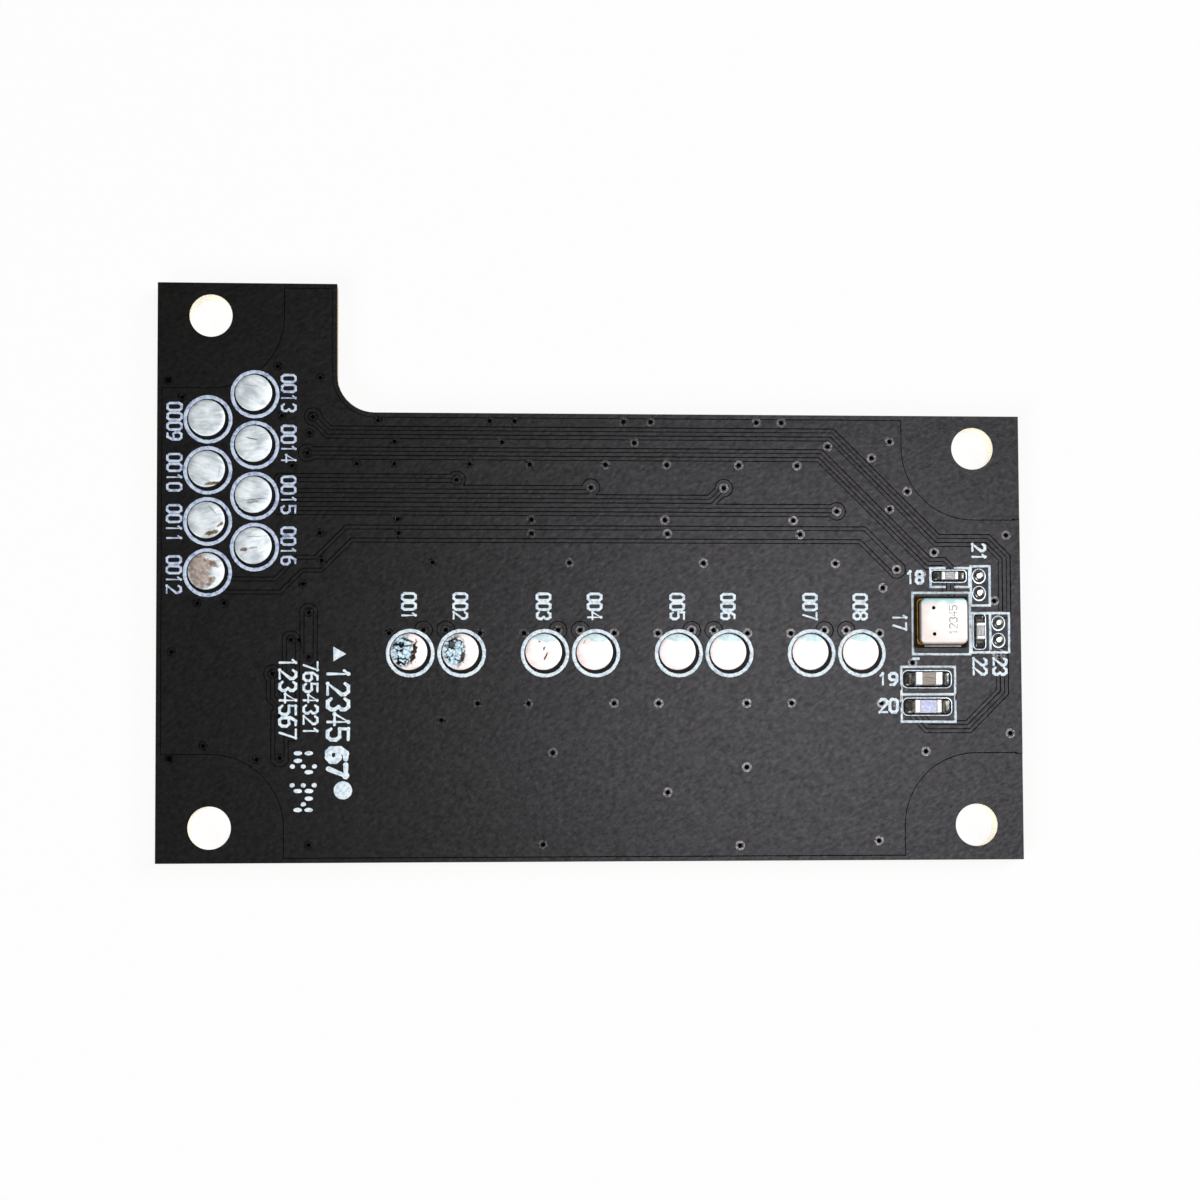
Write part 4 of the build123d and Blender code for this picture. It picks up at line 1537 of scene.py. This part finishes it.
# ---------------------------------------------------------------- chips
@dataclass
class Chip:
    """One ceramic chip with its end caps, the solder at its ends and a dark plate under it, painted shade
    round the chip.

    Attributes:
        name: the frame's name for it.
        body: the body's finish.
        body_slot: a slot name for the body; not used.
        upright: whether its length runs across the board.
        shade_margin: how far the dark plate of painted shade shows round the chip.
        film_margin: how much further the bright film round that plate reaches.
        core_corner: radius of the plates' corners, as a share of their narrower side.
        climb_curve: how hollow the solder's climb is; one is a straight slope.
        climb_side: the climb's height at the cap's sides, as a share of that in its middle.
        toe_taper: how much narrower than the cap the solder's toe is, as a share.
        toe_rise: the solder's thickness along its toe.
        grid: faces along and across one heap of solder.
    """

    name: str
    body: bpy.types.Material
    body_slot: str
    upright: bool = False
    shade_margin: float = 0.09
    film_margin: float = 0.05
    core_corner: float = 0.3
    climb_curve: float = 2.4
    climb_side: float = 0.55
    toe_taper: float = 0.08
    toe_rise: float = 0.03
    grid: int = 14

    def build(self, terminal: bpy.types.Material, solder: bpy.types.Material) -> None:
        """Builds the chip.

        Args:
            terminal: the end caps' material.
            solder: the solder's material.
        """
        low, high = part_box(f"{self.name}_body")
        body = rounded_block(high - low, 0.03, 0.03, f"{self.name}_ceramic")
        body.transform(standing(low, high))
        add_piece(f"{self.name}_ceramic", body, [self.body], [f"{self.name}_body"], 40)
        caps = bmesh.new()
        for low, high in solids(f"{self.name}_end_caps"):
            cap = rounded_block(high - low, 0.07, 0.05, "cap")
            stamp(caps, cap, [standing(low, high)])
        name = f"{self.name}_caps"
        add_piece(name, clean_mesh(caps, name), [terminal], [f"{self.name}_end_caps"], 40)
        self.heaps(solder)
        self.lands()

    def heaps(self, solder: bpy.types.Material) -> None:
        """Builds the solder that climbs both ends in a hollow curve, from high at the cap to a thin toe."""
        low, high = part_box(f"{self.name}_end_caps")
        centre = (low + high) / 2
        axis = 1 if self.upright else 0
        across = 1 - axis
        bm = bmesh.new()
        for toe_low, toe_high in solids(f"{self.name}_solder"):
            size = toe_high - toe_low
            side = 1 if toe_high[axis] > centre[axis] else -1
            start = toe_low[axis] if side > 0 else toe_high[axis]
            sheet = bmesh.ops.create_grid(bm, x_segments=self.grid, y_segments=self.grid, size=0.5)
            for vert in sheet["verts"]:
                along, over = vert.co.x + 0.5, vert.co.y * 2
                side_fall = (1 - abs(over) ** 4) ** 0.5
                toe_fall = min(1.0, (1 - along) * 6) ** 0.5
                share = self.climb_side + (1 - self.climb_side) * side_fall
                climb = (1 - along) ** self.climb_curve * size.z * share
                taper = 1 - self.toe_taper * along**4
                film = self.toe_rise * MM * side_fall * toe_fall
                place = Vector((0, 0, toe_low.z + (climb + film) * min(1.0, side_fall * 3)))
                place[axis] = start + side * (along * size[axis] - 0.01 * MM)
                place[across] = centre[across] + over * size[across] / 2 * taper
                vert.co = place
        rim = [e for e in bm.edges if e.is_boundary]
        bmesh.ops.extrude_edge_only(bm, edges=rim)
        for vert in bm.verts:
            if vert.is_boundary:
                vert.co.z = toe_low.z
        bmesh.ops.holes_fill(bm, edges=[e for e in bm.edges if e.is_boundary])
        name = f"{self.name}_fillets"
        add_piece(name, clean_mesh(bm, name), [solder], [f"{self.name}_solder"], 60)

    def lands(self) -> None:
        """Lays a dark plate under the chip, painted shade round it, inside a bright line of film."""
        low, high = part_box(f"{self.name}_solder")
        for part, margin, rise, finish in (
            ("film", self.shade_margin + self.film_margin, 0.003, FILM),
            # the core plate is painted shade round the chip
            ("core", self.shade_margin, 0.006, BARE_CORE_AND_PAINTED_SHADE),
        ):
            size = high - low + Vector((margin, margin, 0)) * 2 * MM
            size.z = rise * MM
            name = f"{self.name}_{part}"
            plate = rounded_block(size, min(size.x, size.y) / MM * self.core_corner, 0.001, name)
            plate.transform(standing(low, high))
            add_piece(name, plate, [finish.material()], (), 40)


@dataclass
class EmptyFootprint:
    """Rounded heaps of tin on two lands that carry no part, each with a painted highlight in its middle and a
    bright line of film round it.

    Attributes:
        node: the frame's node.
        flatness: how flat the heap's middle is; two is a ball's curve.
        rings: rings of faces from its middle to its rim.
        highlight_share: how far the painted highlight reaches from the middle, as a share of the heap's
            width.
        highlight_wander: how far that reach strays, as the same share.
        highlight_patch: how wide the strays are.
        film_margin: how far the film shows round it.
        film_rise: the film's thickness.
    """

    node: str
    flatness: float = 3.0
    rings: int = 12
    highlight_share: float = 0.2
    highlight_wander: float = 0.09
    highlight_patch: float = 0.16
    film_margin: float = 0.05
    film_rise: float = 0.003

    def build(
        self, solder: bpy.types.Material, bright: bpy.types.Material, film: bpy.types.Material
    ) -> None:
        """Builds the two heaps and their film.

        Args:
            solder: the heaps' material.
            bright: the painted highlight's material in their middle.
            film: the film's material.
        """
        shares = [ring / self.rings for ring in range(self.rings + 1)]
        profile = [(share, (1 - share**self.flatness) ** 0.5) for share in shares]
        heap = turned([*profile, (0, 0)], 32, "heap")
        disc = turned([(1, 0), (1, self.film_rise), (0, self.film_rise)], 32, "film")
        for part, shape, margin, finish, replaced in (
            ("heaps", heap, 0.0, solder, [self.node]),
            ("film", disc, self.film_margin, film, []),
        ):
            bm = bmesh.new()
            for low, high in solids(self.node):
                size = (high - low) / 2 / MM
                rise = (high.z - low.z) / MM if part == "heaps" else 1.0
                shift = Matrix.Translation((0, -margin / 2 * MM, 0))
                wide = Matrix.Diagonal((size.x + margin, size.y + margin, rise, 1.0))
                stamp(bm, shape, [standing(low, high) @ shift @ wide])
            if part == "heaps":
                self.paint_highlight(bm)
            name = f"{self.node}_{part}"
            add_piece(name, clean_mesh(bm, name), [finish, bright], replaced, 60)

    def paint_highlight(self, bm: bmesh.types.BMesh) -> None:
        """Marks the uneven middle of each heap, where the highlight is painted."""
        boxes = solids(self.node)
        for face in bm.faces:
            spot = face.calc_center_median()
            for low, high in boxes:
                away = (spot - (low + high) / 2).xy.length / (high.x - low.x)
                reach = self.highlight_share + noise.noise(spot / (self.highlight_patch * MM)) * self.highlight_wander
                if low.x < spot.x < high.x and low.y < spot.y < high.y and away < reach:
                    face.material_index = 1


# ---------------------------------------------------------------- studio
@dataclass(frozen=True)
class Lamp:
    """One soft lamp: where it stands, what size it is and how strong, in metres and watts."""

    name: str
    at: tuple[float, float, float]
    size: float
    power: float
    colour: str = "#ffffff"


@dataclass
class Studio:
    """A pale floor and ring backdrop, soft lamps and the camera.

    Attributes:
        lens: the camera's focal length on a 36 mm wide sensor.
        stand: the camera's place in millimetres.
        turn: its turn about its own right, up and backward axes as one rotation vector, in radians.
        shift: the lens shift, in shares of the image's width.
        sky: strength of the even light from all round.
        glow: how much of the paper's look is its own white.
        wall: radius and height of the ring backdrop, in metres.
        drop: how far the floor lies under the object.
        lamps: the soft lamps.
    """

    lens: float = 82.47
    stand: tuple[float, float, float] = (-9.17, -17.37, 162.38)
    turn: tuple[float, float, float] = (0.06018, -0.07434, -0.0033)
    shift: Point = (-0.035, 0.0854)
    sky: float = 0.2
    glow: float = 0.88
    wall: Point = (1.4, 0.55)
    drop: float = 0.02
    lamps: tuple[Lamp, ...] = (
        Lamp("sheen_softbox", (0.103, 0.03, 0.6), 0.15, 0.78, "#faf6ff"),
        Lamp("right_softbox", (0.42, 0.2, 0.5), 0.4, 1.82),
        Lamp("front_softbox", (-0.35, -0.35, 0.5), 0.4, 2.0),
    )

    def paper(self) -> bpy.types.Material:
        """White paper that the camera, and what is mirrored or seen through, finds nearly evenly white."""
        material = bpy.data.materials.new("matt_white_paper")
        material.use_nodes = True
        tree = material.node_tree
        tree.nodes.clear()
        path = add_node(tree, "LightPath")
        seen = path.outputs["Is Camera Ray"]
        for kind in ("Is Glossy Ray", "Is Transmission Ray"):
            links = {0: seen, 1: path.outputs[kind]}
            seen = add_node(tree, "Math", {"operation": "MAXIMUM"}, links).outputs["Value"]
        share = add_node(tree, "Math", {"operation": "MULTIPLY", 1: self.glow}, {0: seen})
        matt = add_node(tree, "BsdfDiffuse", {"Color": linear("#fbfbfb")})
        white = add_node(tree, "Emission", {"Color": linear("#ffffff"), "Strength": 1.0})
        links = {0: share.outputs["Value"], 1: matt.outputs["BSDF"], 2: white.outputs["Emission"]}
        mixed = add_node(tree, "MixShader", links=links)
        add_node(tree, "OutputMaterial", links={"Surface": mixed.outputs["Shader"]})
        return material

    def backdrop(self) -> None:
        """Lays the floor and stands the ring round it."""
        paper = self.paper()
        radius, height = self.wall
        floor = bmesh.new()
        bmesh.ops.create_circle(floor, cap_ends=True, segments=64, radius=radius)
        bmesh.ops.translate(floor, vec=(0, 0, -self.drop * MM), verts=floor.verts)
        ring = bmesh.new()
        bmesh.ops.create_circle(ring, cap_ends=False, segments=64, radius=radius)
        raised = bmesh.ops.extrude_edge_only(ring, edges=ring.edges[:])["geom"]
        top = [g for g in raised if isinstance(g, bmesh.types.BMVert)]
        bmesh.ops.translate(ring, vec=(0, 0, height), verts=top)
        for name, bm in (("floor", floor), ("ring_backdrop", ring)):
            mesh = bpy.data.meshes.new(name)
            bm.to_mesh(mesh)
            bm.free()
            mesh.materials.append(paper)
            stand = bpy.data.objects.new(name, mesh)
            bpy.context.scene.collection.objects.link(stand)

    def light(self) -> None:
        """Sets the lamps and an even sky."""
        for lamp in self.lamps:
            data = bpy.data.lights.new(lamp.name, "AREA")
            data.shape = "DISK"
            data.size = lamp.size
            data.energy = lamp.power
            data.color = linear(lamp.colour)[:3]
            holder = bpy.data.objects.new(lamp.name, data)
            holder.location = lamp.at
            holder.rotation_mode = "QUATERNION"
            holder.rotation_quaternion = Vector(lamp.at).to_track_quat("Z", "Y")
            bpy.context.scene.collection.objects.link(holder)
        world = bpy.data.worlds.new("studio")
        bpy.context.scene.world = world
        world.use_nodes = True
        sky = world.node_tree.nodes["Background"]
        sky.inputs["Color"].default_value = linear("#ffffff")
        sky.inputs["Strength"].default_value = self.sky

    def camera(self) -> None:
        """Stands the camera over the board."""
        data = bpy.data.cameras.new("camera")
        data.sensor_width = 36
        data.lens = self.lens
        data.shift_x, data.shift_y = self.shift
        data.clip_start = 0.01
        holder = bpy.data.objects.new("camera", data)
        turn = Vector(self.turn)
        stand = Matrix.Translation(Vector(self.stand) * MM)
        holder.matrix_world = stand @ Matrix.Rotation(turn.length, 4, turn)
        bpy.context.scene.collection.objects.link(holder)
        bpy.context.scene.camera = holder

    def build(self) -> None:
        """Sets up the floor, the light and the camera."""
        self.backdrop()
        self.light()
        self.camera()
        bpy.context.scene.view_settings.view_transform = "Standard"


def build_parts() -> None:
    """Builds the chips and the empty footprints, which share the solder's and the caps' materials."""
    terminal = TERMINAL.material()
    solder = SOLDER_PAINTED_DARK.material()
    film = FILM.material()
    highlight_tin = HIGHLIGHT_TIN.material()
    chips = (
        Chip("capacitor_1", GREY_CERAMIC.material(upright=False), "capacitor_ceramic"),
        Chip("capacitor_2", TAUPE_CERAMIC.material(upright=False), "capacitor_ceramic"),
        Chip("capacitor_3", GREY_CERAMIC.material(upright=True), "capacitor_ceramic", upright=True),
        Chip("resistor_1", ALUMINA.material(), "alumina"),
    )
    for chip in chips:
        chip.build(terminal, solder)
    dress("resistor_1_overcoat", GLAZE.material())
    for number in (1, 2):
        EmptyFootprint(f"empty_footprint_{number}_tin").build(solder, highlight_tin, film)


def main() -> None:
    """Builds every piece."""
    logging.basicConfig(level=logging.INFO, format="%(name)s: %(message)s")
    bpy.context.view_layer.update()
    Studio().build()
    BareBoard().build()
    ContactPads().build()
    Print().build()
    CannedSensor().build()
    build_parts()


if __name__ == "__main__":
    main()
